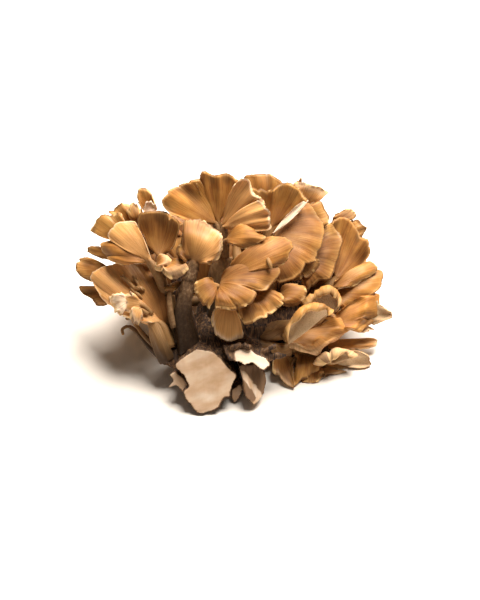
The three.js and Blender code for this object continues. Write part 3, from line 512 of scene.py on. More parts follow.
def add_limb(bm, points, radii, seed, fuzz=0.0, rough=0.35, sides=20):
    """A round limb through points with a radius at each, its skin in fibrous lumps."""
    points = [Vector(p) for p in points]
    length = sum((b - a).length for a, b in zip(points, points[1:]))
    rows = max(round(length), 4)

    def place(row, column, face):
        share = row / rows
        centre = spline(points, share)
        along = (spline(points, min(share + 0.02, 1)) - spline(points, max(share - 0.02, 0))).normalized()
        at = share * (len(radii) - 1)
        i = min(int(at), len(radii) - 2)
        around = math.pi * (1 - column / sides) * face
        radius = radii[i] + (radii[i + 1] - radii[i]) * (at - i)
        lumps = 0
        for high, turns, long in LUMPS:
            spot = (math.cos(around) * turns, math.sin(around) * turns, share * length / long + seed)
            lumps += high * noise.noise(spot)
        radius *= 1 + rough * lumps
        if row in (0, rows):
            radius *= LIMB_TIP
        fan = (share * length - length - 6, around * radius, 10 * seed)
        point = tube_point(centre, along, Vector((1, 0, 0)), radius, around)
        return point, fan, (ON_STALK, 0, 0), (STALK_TONE, fuzz, 0)

    mapped_grid(bm, rows, sides, place)


def new_skin():
    """An empty mesh whose points carry their place on the fan and on the skin."""
    bm = bmesh.new()
    for name in ("fan", "skin", "look"):
        bm.verts.layers.float_vector.new(name)
    return bm


def finish_piece(bm, name, material):
    """Lays a grown piece on the table, closes its seams and makes it an object."""
    for vert in bm.verts:
        vert.co = laid(vert.co)
    bmesh.ops.remove_doubles(bm, verts=bm.verts, dist=2e-6)
    bmesh.ops.recalc_face_normals(bm, faces=bm.faces)
    for face in bm.faces:
        face.smooth = True
    return mesh_object(bm, name, material)


def frond(name, fork, fork_radius, caps, stems=(), tone=0.2, fuzz=0.0):
    """A frond in one piece, in place of its plain solid.

    Each stem is its points, its radii and maybe its own fuzz.
    """
    bm = new_skin()
    first = sum(map(ord, name)) % 50
    for i, shape in enumerate(caps):
        add_cap(bm, shape, fork, fork_radius, tone, fuzz, first + 1.37 * i)
    for i, (points, radii, *own_fuzz) in enumerate(stems):
        add_limb(bm, points, radii, first + 0.61 * i, *(own_fuzz or [fuzz]))
    piece = finish_piece(bm, name + "_skin", cap_skin)
    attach(piece, "root")
    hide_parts(name)


frond("left_low_frond", fork=(-36, -24, 3), fork_radius=5, tone=0.15, fuzz=0.15, stems=[
    # Two dried strands.
    (((-36, -33, 2), (-46, -24, 0), (-52, -17, -1), (-57, -13.5, -2), (-60, -15, -2), (-59.5, -18, -1)),
     (2, 1.4, 1.1, 0.9, 0.8, 0.7), 0.35),
    (((-38, -28, 3), (-49, -18, 1), (-57, -7, -2)), (1.8, 1.2, 0.7), 0.2),
    # Six torn splinters that lie on the broad cap.
    (((-61.3, 12.4, 1), (-59.2, 11, 1.6), (-56.5, 8.6, 2.2), (-54, 5.8, 3), (-53, 4, 2.6)),
     (0.5, 0.9, 1, 0.9, 0.7), 0),
    (((-60, 13.2, 1.4), (-58.2, 11.2, 2.2), (-55.6, 8.8, 2.6)), (0.35, 0.6, 0.8), 0),
    (((-54.6, 12.9, 1.4), (-53.9, 10.6, 1.6), (-52.2, 8.4, 2.4), (-51.6, 5.6, 3)), (0.5, 0.8, 0.8, 0.6), 0),
    (((-52.8, 12.2, 2.2), (-52.3, 10.2, 2), (-51.6, 8, 2)), (0.3, 0.5, 0.6), 0),
    (((-55, 4.6, 2.6), (-52.2, 6, 3.8), (-49.8, 5.6, 4), (-48.8, 4, 2.8)), (0.7, 1.3, 1.1, 0.5), 0),
    (((-56.5, 6.8, 2.4), (-54, 4.2, 3.4), (-51.4, 2.4, 4), (-49.4, 0, 3.6)), (0.5, 0.9, 0.9, 0.5), 0),
    # The smooth foot of the frond's stalk.
    (((-36.5, -32, 3), (-39.5, -25, 4), (-42, -18, 4.5), (-44, -12, 4), (-49, -6.5, 3)),
     (4.2, 4.6, 4.2, 3.4, 2), 0.1),
], caps=[
    # The broad cap and its torn front layer.
    # Its pale skin on the left lobe is partly painted light: that lobe lies in the shade of the fronds
    # above.
    cap((-38, -15, 5), (0.1, -0.2), (2.5, 1.2, 0.1), thick=7, half=3.5, bulge=3, tone=(1, 0.85, 0.1, 0, 0),
        pale=0.75, crumple=1.2,
        rim=((-39, 2), (-42, 13), (-50, 18.5), (-58, 19.5), (-66, 18.5), (-73, 16), (-76.5, 12.5),
            (-75, 9.3), (-71.5, 7.5), (-69.5, 4.6), (-63, 4.8))),
    cap((-40.5, -11, 7), (0.1, -0.3), (4, 1.4, 0.3), thick=4, half=3, bulge=1.5, tone=0, pale=0.85,
        ragged=1.6, torn=5, crumple=1.6,
        rim=((-58, 5), (-66, 4), (-66, 0), (-63.5, -4), (-60.3, -7.8), (-57, -6.3), (-54, -6.5),
            (-51.7, -9.8), (-48, -8.6))),
    # The caps behind.
    cap((-66, 14, -8), (0.1, -0.2), (2, 0.6, 0), start=(-54, 6, 1.1), bulge=1.5, tone=(0.45, 0.4),
        rim=((-72, 20), (-77, 22), (-80.5, 22.3), (-83.3, 20.2), (-84.3, 17), (-83.2, 14), (-80, 11.2),
            (-76, 9.5), (-71, 9))),
    cap((-60, 3, -14), (0, -0.3), (2.5, 1.2, 0.4), start=(-46, -4, 2.7), neck=3, bulge=1.5, tone=0.8,
        rim=((-70, 7), (-75, 6.6), (-78.5, 7.4), (-82, 7.4), (-81.8, 5.2), (-78.5, 2.5), (-75.5, 0),
            (-73, -3), (-68, -2.2))),
    cap((-62, 21, -8.5), (0.1, -0.2), (1.5, 0.5, 0), start=(-52, 9, 0.9), half=3.5,
        rim=((-72, 28), (-76.5, 27.6), (-78.3, 25.5), (-76, 23.6), (-71, 21))),
    # Three torn plates.
    cap((-57.5, -0.5, 9.5), (0.3, -0.1), (1.5, 0.8, 0), start=(-50, -4, 7), thick=2.5, tone=0, pale=1,
        ragged=2, torn=5,
        rim=((-61, 4.5), (-66.5, 2.5), (-66.8, -2), (-64.5, -6.5), (-60.5, -7.5))),
    cap((-50.5, -2, 9), (0.15, 0.05), (2, 0.9, 0.2), start=(-45, -7, 7), thick=2.5, tone=0, pale=0.7,
        ragged=2, torn=6,
        rim=((-56, 5), (-60, 3), (-61, -1.5), (-58.5, -5.5), (-54, -7), (-51, -6))),
    cap((-51.5, -3, 10), (0.1, 0.1), (1.5, 0.6, 0.4), start=(-47, -7, 8), thick=2.5, tone=0, pale=0.75,
        ragged=2, torn=5,
        rim=((-57, -5.5), (-56, -8.8), (-53, -11.8), (-49.5, -10))),
])


# ---- Left high frond ----
# Above it stands a spray of ten small fans on one stalk. They are young, thin and upright, browner on
# their backs and pale at their feet, and two of them turn their rubbed faces down over the stalk.
frond("left_high_frond", fork=(-37.5, 2, 1), fork_radius=4, tone=0.2, fuzz=0.35, stems=[
    (((-31, -22, 0), (-35.5, -10, 0), (-37.5, 3, 1)), (5.5, 4.5, 4)),
], caps=[
    cap((-46, 20, 8), (0.25, -0.25), (2, 0.7, 0.1), thick=5, bulge=2.5, tone=0, pale=0.65,
        rim=((-50.5, 31), (-53.6, 40), (-59, 40.8), (-64.5, 38.3), (-68, 33.5), (-66, 30))),
    cap((-47, 20, 7.5), (0.3, -0.35), (2, 0.8, 0.6), thick=5, bulge=3,
        rim=((-65, 31.5), (-71.5, 28.8), (-70.3, 24.5), (-66, 19.8), (-59, 17.6))),
    cap((-41.5, 22, 4), (0, 0.05), (3, 0.8, 0.2), thick=5, bulge=-2.5, tone=(0.75, 0.8, 0.7), crumple=0.6,
        rim=((-48.5, 33), (-52.6, 40), (-50.5, 44.6), (-45, 45.6), (-39, 45.3), (-34.3, 43), (-31.2, 39.3),
            (-32, 32), (-34.5, 26))),
    cap((-43, 19, 9.5), (-0.1, -0.7), (1.5, 0.6, 0.2), start=(-42.5, 13, 3), bulge=2, bead=0.8, tone=0,
        pale=0.4, torn=2.5,
        rim=((-40, 24), (-36.6, 23.2), (-34.3, 20), (-36, 16.8), (-40, 15.6), (-43.5, 16), (-46.3, 19))),
    cap((-37.5, 18.5, 9.5), (-0.1, -0.7), (2, 0.8, 0), start=(-39, 12, 3), bulge=2.5, bead=0.8, tone=0,
        pale=0.4, torn=2.5,
        rim=((-30.5, 20.6), (-26.5, 18.6), (-25, 16.3), (-27.5, 13.7), (-31.5, 12.2), (-36, 11.4),
            (-39.3, 13.4), (-41, 16))),
    cap((-57, 30, -4), (0.25, 0.05), (2.5, 0.8, 0), start=(-46, 18, 2), bulge=1.5, tone=0.1, ragged=0.9,
        torn=3,
        rim=((-59, 40), (-61, 45), (-63.5, 45), (-67, 43.2), (-70, 43.8), (-73.5, 40.5), (-76, 37.3),
            (-77, 35.2), (-72, 34.3), (-66, 32))),
    cap((-53, 37, -6), (0.2, 0), (2, 0.8, 0.5), start=(-45, 24, 2), bulge=1.5, tone=0.3, ragged=1.2, torn=3,
        rim=((-54, 46), (-57, 48.8), (-60.3, 49.5), (-63.5, 47.8), (-67.3, 45.4), (-62, 42))),
    cap((-52, 39, -3), (0, 0.1), (1.5, 0.8, 0), start=(-48, 30, -1), tone=0.1, ragged=1.2, torn=3,
        rim=((-49.5, 44.5), (-50.3, 47.5), (-53, 49.3), (-55.3, 49.7), (-56.8, 46.8), (-58, 44))),
    cap((-45, 42, -6), (0.1, 0), (1.5, 1, 0.2), start=(-42, 27, 2), bulge=-1.5, tone=0.1, torn=2,
        rim=((-41.8, 47), (-44, 52.3), (-46.3, 55.6), (-49.3, 57.5), (-51.8, 57), (-52.2, 54), (-53, 51),
            (-50.5, 47.5))),
    cap((-45.5, 41, -3), (0, 0.1), (1.5, 0.4, 0), start=(-43, 33, 1), under=True, pale=1, ragged=2, torn=4,
        rim=((-42, 46.8), (-43, 49.2), (-46.4, 49.6), (-48.6, 48), (-49.6, 45.5))),
])


# ---- Bud ----
# A young cap that has not opened yet: a small grey trumpet of the same flesh, in the same fuzz as the
# stalks that it stands between.
frond("bud", fork=(-33.5, -14, 7), fork_radius=2.6, tone=0.5, fuzz=0.7, caps=[
    cap((-36, 4, 8), (0.2, -0.5), (1, 0.4, 0), thick=3, half=1.6,
        rim=((-39.5, 5.5), (-37, 8.4), (-30, 10.2), (-32, 5.6))),
])


# ---- Middle frond ----
# One downy cap on a thick fuzzy stem that grew straight up from the butt. It is pale where its skin is
# rubbed and dark along its left margin.
frond("middle_frond", fork=(-26, 10, 8), fork_radius=5, tone=0.2, fuzz=1, stems=[
    (((-25, -27, 3), (-29, -9, 6), (-27.5, 4, 7), (-25, 15, 8.5)), (7, 4.7, 3.8, 3)),
], caps=[
    cap((-24, 19.5, 11), (0.05, -0.15), (3, 1, 0.4), thick=6, half=2, flare=3.8, bulge=3.5,
        tone=(1, 1, 0.8, 0.2, 0, 0), pale=0.6, ragged=0.9, crumple=2,
        rim=((-30.5, 19.5), (-33.3, 25), (-30, 31), (-29.2, 36), (-28.5, 40.6), (-23, 41.2), (-17, 40),
            (-12, 36.3), (-9, 32.5), (-8.8, 26), (-11, 21), (-15, 18))),
])


# ---- Crown frond ----
# The widest cap, at the top, grew as three fans in deep radial folds on one stem. Smaller lobes of the
# same growth overlap it on its right.
frond("crown_frond", fork=(-8.5, 22, -5), fork_radius=4.5, tone=0.35, fuzz=0.6, stems=[
    (((-12, -12, -8), (-12, 6, -8), (-8.5, 23, -5)), (7, 6, 4.5)),
], caps=[
    cap((-12, 39, -1), (-0.3, -0.05), (2, 1.2, 0.2), bulge=-1, tone=(0, 0, 0.15, 0.35, 0.4), pale=0.1,
        ragged=1.1, torn=2.5,
        rim=((-31, 42), (-37.5, 45.8), (-39.4, 49), (-38.6, 53), (-35, 56.6), (-30, 58.4), (-26, 60.8),
            (-21, 62.3))),
    cap((-11, 39, -2), (-0.1, 0.15), (3, 1.3, 0.1), bulge=-1.5, tone=(0.5, 0.45, 0.35),
        rim=((-22.5, 59), (-20.3, 63.4), (-17.7, 66), (-13.2, 63.7), (-10, 64.4), (-5, 64), (-0.5, 61.5))),
    # The two caps on the right are made pale partly as painted light, since they tilt away from the lamp.
    cap((-9.5, 38, -1), (0.35, 0.2), (2, 1.2, 0.6), bulge=-1, tone=(0.1, 0, 0), pale=0.75,
        rim=((-4, 58.5), (0, 61.8), (4, 61), (5.6, 57), (9, 53.3), (11.3, 51.3), (12.7, 48.3))),
    cap((-9.5, 37, 1), (0.45, 0.1), (3, 1.2, 0), tone=0, pale=0.85, ragged=1, torn=3, crumple=1.3,
        rim=((8.5, 51), (12.2, 47.8), (14.4, 46), (15.2, 43), (16.4, 41), (15.7, 38.3), (14.8, 35.6),
            (9, 35.5))),
    cap((-8.3, 31, 6), (0.3, -0.5), (1.5, 0.8, 0.3), bulge=2.5, tone=0,
        rim=((5, 40), (10, 36.5), (12.2, 31.6), (9, 29.4), (5, 26.7), (1, 26.3))),
])


# ---- Upper right frond ----
# Large, flat, weathered caps on a thick stem, with smaller ones that show behind them. Between the two
# foremost the skin tore, and a thin strip of its white flesh stands open.
frond("upper_right_frond", fork=(14, 18, -14), fork_radius=5, tone=0.4, fuzz=0.15, stems=[
    (((6, -8, -16), (12, 6, -16), (14, 19, -14)), (7, 6, 5)),
], caps=[
    cap((14, 40, -18), (0, 0.15), (4, 0.6, 0), bulge=2, tone=0.6,
        rim=((-1, 60), (2, 63), (6, 64.4), (12, 64.3), (17, 63.3), (20.5, 61.2), (23, 58))),
    cap((16, 37, -8), (-0.05, 0.1), (3, 1.4, 0.2), bulge=-1.5, tone=(0.4, 0.5),
        rim=((4, 57.3), (10, 56.6), (16, 56.2), (18.5, 58.3), (22, 59.4), (26, 59.6), (30, 57.2), (33, 54),
            (35.4, 50.5))),
    cap((16.5, 33.5, -3.6), (-0.05, -0.13), (1, 0.1, 0), start=(16, 30, -9), under=True, thick=2, half=0.8,
        bulge=0.5, curl=30, pale=1,
        rim=((24, 43.6), (30, 49), (35, 51.2), (32, 46.8), (26.8, 41.2))),
    # Its weathered brown is deepened partly as painted shade.
    cap((17, 33, -6), (-0.12, -0.4), (3, 1, 0.5), bulge=2, tone=(0.6, 0.75, 0.6, 0.7), crumple=0.7,
        rim=((25, 42), (31, 48.3), (35.5, 49.6), (39.6, 45), (42.8, 39), (43.3, 33), (41.2, 27), (39.5, 23),
            (38.6, 20.2), (33.5, 17.2), (30, 13), (24, 9.6), (17, 8.2))),
    cap((28, 40, -16), (0, -0.1), (2, 0.6, 0), start=(20, 28, -14),
        rim=((36, 49.6), (39, 50.6), (41.2, 50.3), (43.4, 46.5), (45.3, 43), (45.4, 39), (42, 36))),
    # Its weathered brown is deepened partly as painted shade.
    cap((33, 22, -13), (-0.15, -0.3), (3, 0.8, 0.2), start=(20, 18, -14), neck=3, bulge=2, tone=(0.9, 0.85),
        rim=((44.5, 41.4), (48, 38.5), (51.5, 33), (52.2, 29), (50.8, 23.5), (49, 17), (46.5, 11),
            (42, 9.7), (38, 7.8), (34.3, 5.3), (31, 8))),
    cap((29, 20, -8), (-0.1, -0.3), (1.5, 0.5, 0), start=(22, 18, -12), bulge=1.5,
        rim=((38, 23), (41.4, 20.2), (39.5, 16.3), (36.5, 12.8), (33, 10.4), (27, 10))),
    cap((32, 48, -20), (-0.1, 0.2), (2, 0.8, 0), start=(22, 34, -17), tone=0.1, pale=0.5, torn=3,
        rim=((27, 59.5), (31, 60.2), (36, 59), (41, 57.2), (45, 54.7), (41, 51.5))),
    cap((30, 55, -22), (0, 0.1), (1, 0.3, 0), start=(29, 48, -20), neck=1.5, under=True, thick=2, half=1.2,
        bulge=0.5, pale=0.8, ragged=1.5, torn=3,
        rim=((26.4, 60.3), (28.5, 61.5), (31, 62.1), (31.6, 59.5))),
])


# ---- Centre frond ----
# The foremost caps, smooth and golden, grew out over the hollow below them like a bracket. A small
# finger of flesh curls up between two of them.
frond("centre_frond", fork=(-5, -2, 3), fork_radius=4.5, tone=0.35, fuzz=0.15, stems=[
    (((14, 22, 14), (15, 18.5, 15.7), (16.3, 15.3, 15.4)), (0.7, 1.3, 0.5), 0),
    (((-6, -20, -4), (-4.5, -10, 0), (-5, -1, 3)), (7, 5.5, 4.5)),
], caps=[
    # Its brown along the rim is partly painted shade.
    cap((-11, 9, 14), (0.05, -0.6), (3, 0.9, 0.1), start=(-6, 0, 4), neck=3, thick=5, half=2.6, bulge=3,
        tone=(0.3, 0.5, 0.75, 0.85), crumple=1.2,
        rim=((-12.9, -3.6), (-8, -4.5), (-2, -4.2), (3, -2.6), (7.5, 0.4), (9, 4), (13.5, 5.4), (16, 8.5),
            (20.6, 15.3), (15, 19.5), (8, 20.6), (0, 19), (-6, 15))),
    cap((-5, 13, 12), (0.1, -0.35), (2, 0.8, 0.4), bulge=3, tone=(0.3, 0.55),
        rim=((17, 20), (22, 19), (24, 20.7), (25.5, 24), (27.2, 27), (26, 30.2), (22, 32.3), (16, 33),
            (11, 31.5), (4, 26.8), (-3, 21))),
    cap((-11.5, 8.5, 15.5), (-0.1, -0.45), (2.5, 0.6, 0.2), start=(-7, 2, 6), bulge=2,
        rim=((-16.5, 11.2), (-20.5, 10.8), (-23.2, 9.4), (-23.3, 6.5), (-22, 2.7), (-20.3, -0.8), (-18, -3),
            (-15.4, -4.2))),
    cap((5, 3, 8), (0.05, -0.6), (3, 0.6, 0), bulge=2.5, tone=0.2,
        rim=((-2.6, -4.5), (0, -9), (2.7, -12.3), (6, -11.3), (9.6, -9.4), (14, -8.8), (17.5, -5.8),
            (20, -3.4), (22.6, -1), (22.8, 1.6), (20.4, 3.8), (14, 7))),
    cap((20, 3, 4), (0, -0.5), (2, 0.5, 0.2), bulge=2.5,
        rim=((22.5, 7.3), (26, 8.9), (30, 8.6), (33.5, 6.6), (34.3, 4), (33, 0.8), (30.5, -1.6), (26, -3),
            (22.3, -3.6))),
    # This cap lies in the shade under the foremost cap, and its pale skin is painted light.
    cap((-6, 0, 11), (0, -0.05), (2, 0.6, 0.2), bulge=1.5, tone=(0, 0, 0), pale=0.9,
        rim=((-12.5, -3), (-14.5, -7), (-14.7, -12), (-13.4, -16), (-11, -19), (-7.5, -21), (-4, -21.5),
            (-1, -20.2), (2, -18.7), (-0.3, -15), (-2.3, -10))),
])


# ---- Right high frond ----
# Rounded caps stand in a row down the right side. They grew close together, so that each is dished, and
# they are pale inside.
frond("right_high_frond", fork=(38, 2, -17), fork_radius=4.5, tone=0.25, fuzz=0.15, caps=[
    # Its brown is deepened partly as painted shade.
    cap((49, 11, -19), (-0.1, -0.15), (3, 1, 0.1), bulge=-2, tone=(0.45, 0.4),
        rim=((46.3, 36), (48, 41), (52, 42.4), (56, 41), (59.5, 37.6), (61.8, 32.6), (64.5, 31.5),
            (66.4, 27.5), (66, 23), (63.5, 18.5), (59, 15))),
    cap((47.5, 39, -26), (-0.1, -0.2), (1.5, 0.6, 0), start=(47, 28, -24), bulge=1.2,
        rim=((48.5, 44), (52, 46.2), (55, 47), (58, 46.3), (59.5, 44), (58.8, 41.8), (54, 40))),
    cap((53, 34, -28), (-0.1, -0.1), (2.5, 0.8, 0), start=(50, 26, -24), bulge=1.2,
        rim=((57, 41.3), (60, 41.5), (62.5, 39.6), (63.4, 38), (65, 36.7), (63.5, 34), (62, 31))),
    cap((48, 3, -13), (-0.05, -0.35), (2, 1, 0.3), bulge=2.5,
        rim=((62, 15), (68, 16), (73, 15), (73.2, 11), (71.5, 6.5), (68, 3), (63, -1), (59, -4.5),
            (56, -5.6), (51.5, -5))),
    cap((47.5, 6.5, -9), (-0.1, -0.45), (2.5, 0.8, 0.1), start=(43, 3, -14), bulge=2,
        rim=((50, 11.5), (55, 14), (60, 17.6), (64, 20), (67.5, 19.4), (70.4, 16.5), (67, 13), (62.5, 10.5),
            (58.8, 7.4), (54, 9))),
])


# ---- Right middle frond ----
# Caps that grew with their faces away, seen from below: rolled brown rims round grey pores, over broad
# wrinkled caps that are seen from above.
frond("right_mid_frond", fork=(27, -14, -9), fork_radius=4, tone=0.35, fuzz=0.15, stems=[
    (((8, -18, -12), (18, -16, -10), (28, -14, -9)), (6, 5, 4)),
], caps=[
    cap((42, -8, -6), (-0.1, 0.3), (2, 0.5, 0), under=True, curl=200, lip=2.8, tone=0.2,
        rim=((31, -1), (37, 4.8), (45, 7.8), (49.2, 6), (51.4, 2), (50.3, -4))),
    cap((24, -22, 4), (-0.2, 0.3), (2, 0.6, 0.2), start=(22, -18, -6), neck=2.8, under=True, thick=3.5,
        half=1.4, curl=215, lip=3, tone=(0, 0.1),
        rim=((21.4, -18), (23.4, -12), (27.3, -6.2), (32.4, -2.7), (39, -0.8), (45.2, -1.2), (47.8, -4))),
    cap((33, -15, -3), (-0.1, -0.4), (1.5, 0.3, 0), start=(29, -15, -7), thick=3,
        rim=((39, -9.5), (44, -6.6), (48.2, -6.4), (49.2, -8.7), (44, -11))),
    cap((27, -18, -3), (-0.1, -0.5), (2.5, 1, 0), bulge=2, curl=140, lip=2, bead=1.6, tone=0.1, pale=0.45,
        crumple=1.5,
        rim=((25, -23.5), (29.5, -25), (36.4, -26.5), (41.4, -25.4), (44.3, -22.8), (51.2, -17.8),
            (57, -14.5), (52, -9.5), (43, -10))),
    cap((45, -12, -9), (-0.1, -0.3), (2, 1, 0.1), start=(33, -14, -9), bulge=2.5, curl=165, lip=2.4,
        bead=2.2, tone=(0, 0.1),
        rim=((55, -4.5), (61.9, 0.7), (66.8, 3.9), (71, 3.2), (69.6, -4), (69.3, -8.2), (65.8, -12.2),
            (61.9, -16), (57, -15))),
    cap((60, -9, -14), (-0.1, 0.1), (2, 0.6, 0.2), start=(50, -11, -13), under=True, thick=3,
        rim=((69.3, -0.3), (73.7, -4), (77.4, -6), (77.9, -8.4), (74.7, -10.2), (68.5, -13))),
    cap((57, -12, -13), (-0.1, 0.1), (1, 0.3, 0), start=(50, -12, -13), under=True, thick=3, bulge=0.6,
        rim=((65.8, -13), (68.5, -15.2), (64, -16.6), (59.5, -17))),
])


# ---- Right low frond ----
# A tuft of thin caps near the table on short stalks. Some show their pores, and the lowest are shaggy and
# torn.
SHAGGY = dict(ragged=0.9, torn=3, crumple=1.5)

frond("right_low_frond", fork=(26, -25, -9), fork_radius=3.5, tone=0.4, fuzz=0.15, stems=[
    (((8, -26, -8), (18, -26, -9), (27, -25, -9)), (6, 4.5, 3.5)),
], caps=[
    # Its pale skin is partly painted light: the cap lies in shade.
    cap((42, -23, -15), (-0.05, -0.5), (1.5, 0.5, 0), start=(30, -24, -12), tone=0, pale=0.6,
        rim=((52, -19.4), (61, -19.6), (69.8, -19.7), (70.4, -21.8), (67.5, -23.9), (60, -24.6),
            (52, -26))),
    cap((46, -32, -9), (-0.1, 0.25), (1.5, 0.5, 0), start=(30, -26, -10), under=True, half=3, curl=210,
        lip=3.2, tone=(0, 0.1), pale=0.35,
        rim=((37.3, -31.9), (41.2, -27.8), (46.2, -24.8), (52, -24.2), (57, -24.7), (60, -27.5))),
    cap((48, -31, -12), (-0.05, 0.1), (2, 0.6, 0), start=(30, -26, -11), under=True,
        rim=((57, -25.5), (62.9, -26.2), (66, -28.8), (67, -33.2), (63.9, -34.8), (56, -34.6))),
    cap((33, -26, -9), (-0.1, -0.3), (2, 0.9, 0.2), thick=5, half=4, bulge=2, tone=(0.6, 0.7), **SHAGGY,
        rim=((42, -31), (41.4, -37.5), (36.5, -38.9), (32.2, -40.3), (28.4, -44), (26.8, -40.6), (28, -34),
            (27, -29))),
    cap((42, -32, -12), (-0.05, 0.05), (1.5, 0.5, 0), start=(34, -29, -11), tone=0.1, pale=0.5, **SHAGGY,
        rim=((48, -33.5), (53.4, -33.6), (59.2, -36.2), (53, -37.4), (48, -38.8), (43, -39))),
    cap((38, -33, -9), (0, -0.25), (2, 0.6, 0), start=(33, -28, -10), half=3, bulge=1.5, **SHAGGY,
        rim=((31, -40), (31, -43), (35.4, -44.9), (39.4, -43.8), (41.8, -41), (44, -38.5))),
    cap((42, -36, -11), (0, -0.05), (1, 0.3, 0), start=(37, -32, -11), thick=3, bulge=0.5, tone=0, pale=0.6,
        **SHAGGY,
        rim=((43, -42.2), (48, -40.4), (54.3, -37.8), (49, -36.6))),
    cap((21, -27, -5), (-0.1, -0.3), (1.5, 0.5, 0.2), start=(19, -26, -8), half=2.6, bulge=-2,
        tone=(0, 0.15, 0.8, 1), pale=0.45, **SHAGGY,
        rim=((16.2, -30.5), (16.2, -35.6), (19, -39), (23.6, -42.6), (28.2, -45.8), (27.6, -40),
            (27.5, -34), (29, -29.5))),
])


# ---- Butt ----
# The stout base of the mushroom was cut through with a knife. Its skin is brown, fibrous and earthy, and
# the cuts are smooth, cream, dense flesh. Its core inside the head carries the caps of the hidden side.
VOXEL = 0.55  # mm
CUT_SKIN = 0.9  # the knife's faces reach this far into the skin, mm
CUT_FACING = (0.75, 0.92)  # how squarely the surface faces the way the knife's face does
NICKS = (0.5, 2.5)  # how uneven a cut's edge is and how long a nick is, mm
FIBRES = (0.55, 1.6, 7)  # on the skin: height, width and length, mm
SKIN_LUMPS, CUT_LUMPS, LUMP_LONG = 0.9, 0.25, 6.5  # heights and their length, mm
PALE_STRIPS = [((1.7, -37.8), (10.6, -49.8)), ((10.6, -49.8), (7.2, -54))]  # scraped bare on the flank
STRIP_BARE = 0.85
STRIP_EDGE = (1.2, 2.4)  # where a strip fades out, mm from its middle

# The stumps that the knife left, each from its cut face back: bare is how much of the face is flesh,
# white how much of that is white, and left where it starts in x.
STUMPS = [
    # The main cut.
    dict(at=(-20, -58.5, 11.2), slope=(-0.05, 0.1), back=(-14, -24, -10), shrink=0.62, bare=1,
        outline=((-22, -25), (-14.4, -26.3), (-9.7, -30), (-6, -34.7), (-1.7, -38.4), (-3.5, -43.6),
            (-5.3, -47), (-5.1, -50), (-7.7, -49.4), (-9.5, -52), (-11, -54.8), (-15, -57), (-20.2, -58.6),
            (-22.2, -57.6), (-28.5, -49.8), (-29, -47), (-26.2, -44.3), (-28, -40), (-31, -36.8),
            (-33.6, -34.7), (-33.2, -32.6), (-27, -27.8))),
    # A stub beside it.
    dict(at=(-34, -40, 10.5), slope=(0.1, 0.1), back=(-20, -30, -6), shrink=0.6, bare=0.8,
        outline=((-36.3, -37.8), (-33.7, -36.2), (-29, -39.8), (-26.5, -44), (-29.5, -47.2), (-33, -44),
            (-38, -45.5), (-34.5, -41.5))),
    # The side cut.
    dict(at=(6, -29, 13), slope=(-0.15, -0.35), back=(2, -18, -10), shrink=0.8, bare=1, white=0.5,
        left=-2.6,
        outline=((0.2, -24.3), (3.8, -23.2), (6.1, -25.8), (8.5, -27.9), (13.2, -29.5), (15.5, -33.1),
            (12.1, -36), (8.5, -34.2), (6.4, -32.3), (2.8, -33.4), (-1.4, -31.6), (-5.6, -31), (-9, -24.5),
            (-3, -26.3))),
    # The brown flank.
    dict(at=(8, -44, 9), slope=(-0.5, -0.1), back=(4, -26, -10), shrink=0.75, bare=0.3,
        outline=((-1, -33.5), (7, -33), (12.1, -35.5), (13.3, -38), (13.2, -42.5), (12.1, -47.7),
            (10.6, -50.5), (7.2, -54), (2.8, -49.8), (1.5, -41))),
    # A torn flap between the cuts.
    dict(at=(-1.5, -47, 6), slope=(0, 0), back=(-4, -36, -8), shrink=1, bare=0.7,
        outline=((-4.5, -46.2), (0.2, -43), (1.5, -46.2), (0, -50), (-2.6, -53.6), (-4.8, -50.4))),
]
# The limbs that the stumps, the fronds and the hidden caps grow from, as points and radii.
CORE = [
    # The trunk and what it forks into.
    (((-17, -40, 2), (-15, -28, -4), (-10, -10, -16), (0, 6, -26)), (13, 14, 12, 13)),
    (((-10, -12, -16), (0, 6, -28), (8, 22, -34)), (11, 13, 9)),
    (((-12, -20, -9), (16, -13, -19), (38, -4, -26)), (12, 10, 7)),
    (((-20, -28, -4), (-29, -24, -6), (-38, -24, -4)), (11, 9, 5)),
    (((-22, -33, -1), (-38, -28, 0)), (9, 4.5)),
    # Earthy limbs that show between the fronds.
    (((-26, -18, -6), (-30, 0, -6), (-33, 14, -8)), (5.5, 4, 2.8)),
    (((8, 2, -22), (20, 7, -26), (32, 4, -27)), (7, 8, 6)),
    (((20, -24, -14), (30, -29, -14), (37, -31, -16)), (5, 5.5, 4)),
    (((27, -22, -13), (38, -25, -16), (48, -25, -18)), (5, 4.2, 2.5)),
    (((30, -12, -18), (44, -7, -21), (54, -6, -24)), (6, 6, 4)),
    # Fibrous flaps round the side cut, and its rim.
    (((8, -28, 7), (14, -25.5, 9), (18.6, -22.8, 9)), (3.2, 1.8, 0.9)),
    (((11, -29.5, 6), (18, -28.5, 7.5), (24, -28, 7)), (3, 1.7, 0.8)),
    (((-6, -27, 11), (-4, -24.5, 13), (1, -23, 13), (6, -24.5, 13)), (1.5, 1.6, 1.6, 1.2)),
]


def inside(outline, x, y):
    """Whether a point lies inside an outline."""
    crossings = 0
    for (ax, ay), (bx, by) in zip(outline, outline[1:] + outline[:1]):
        if (ay > y) != (by > y) and x < ax + (y - ay) * (bx - ax) / (by - ay):
            crossings += 1
    return crossings % 2 == 1


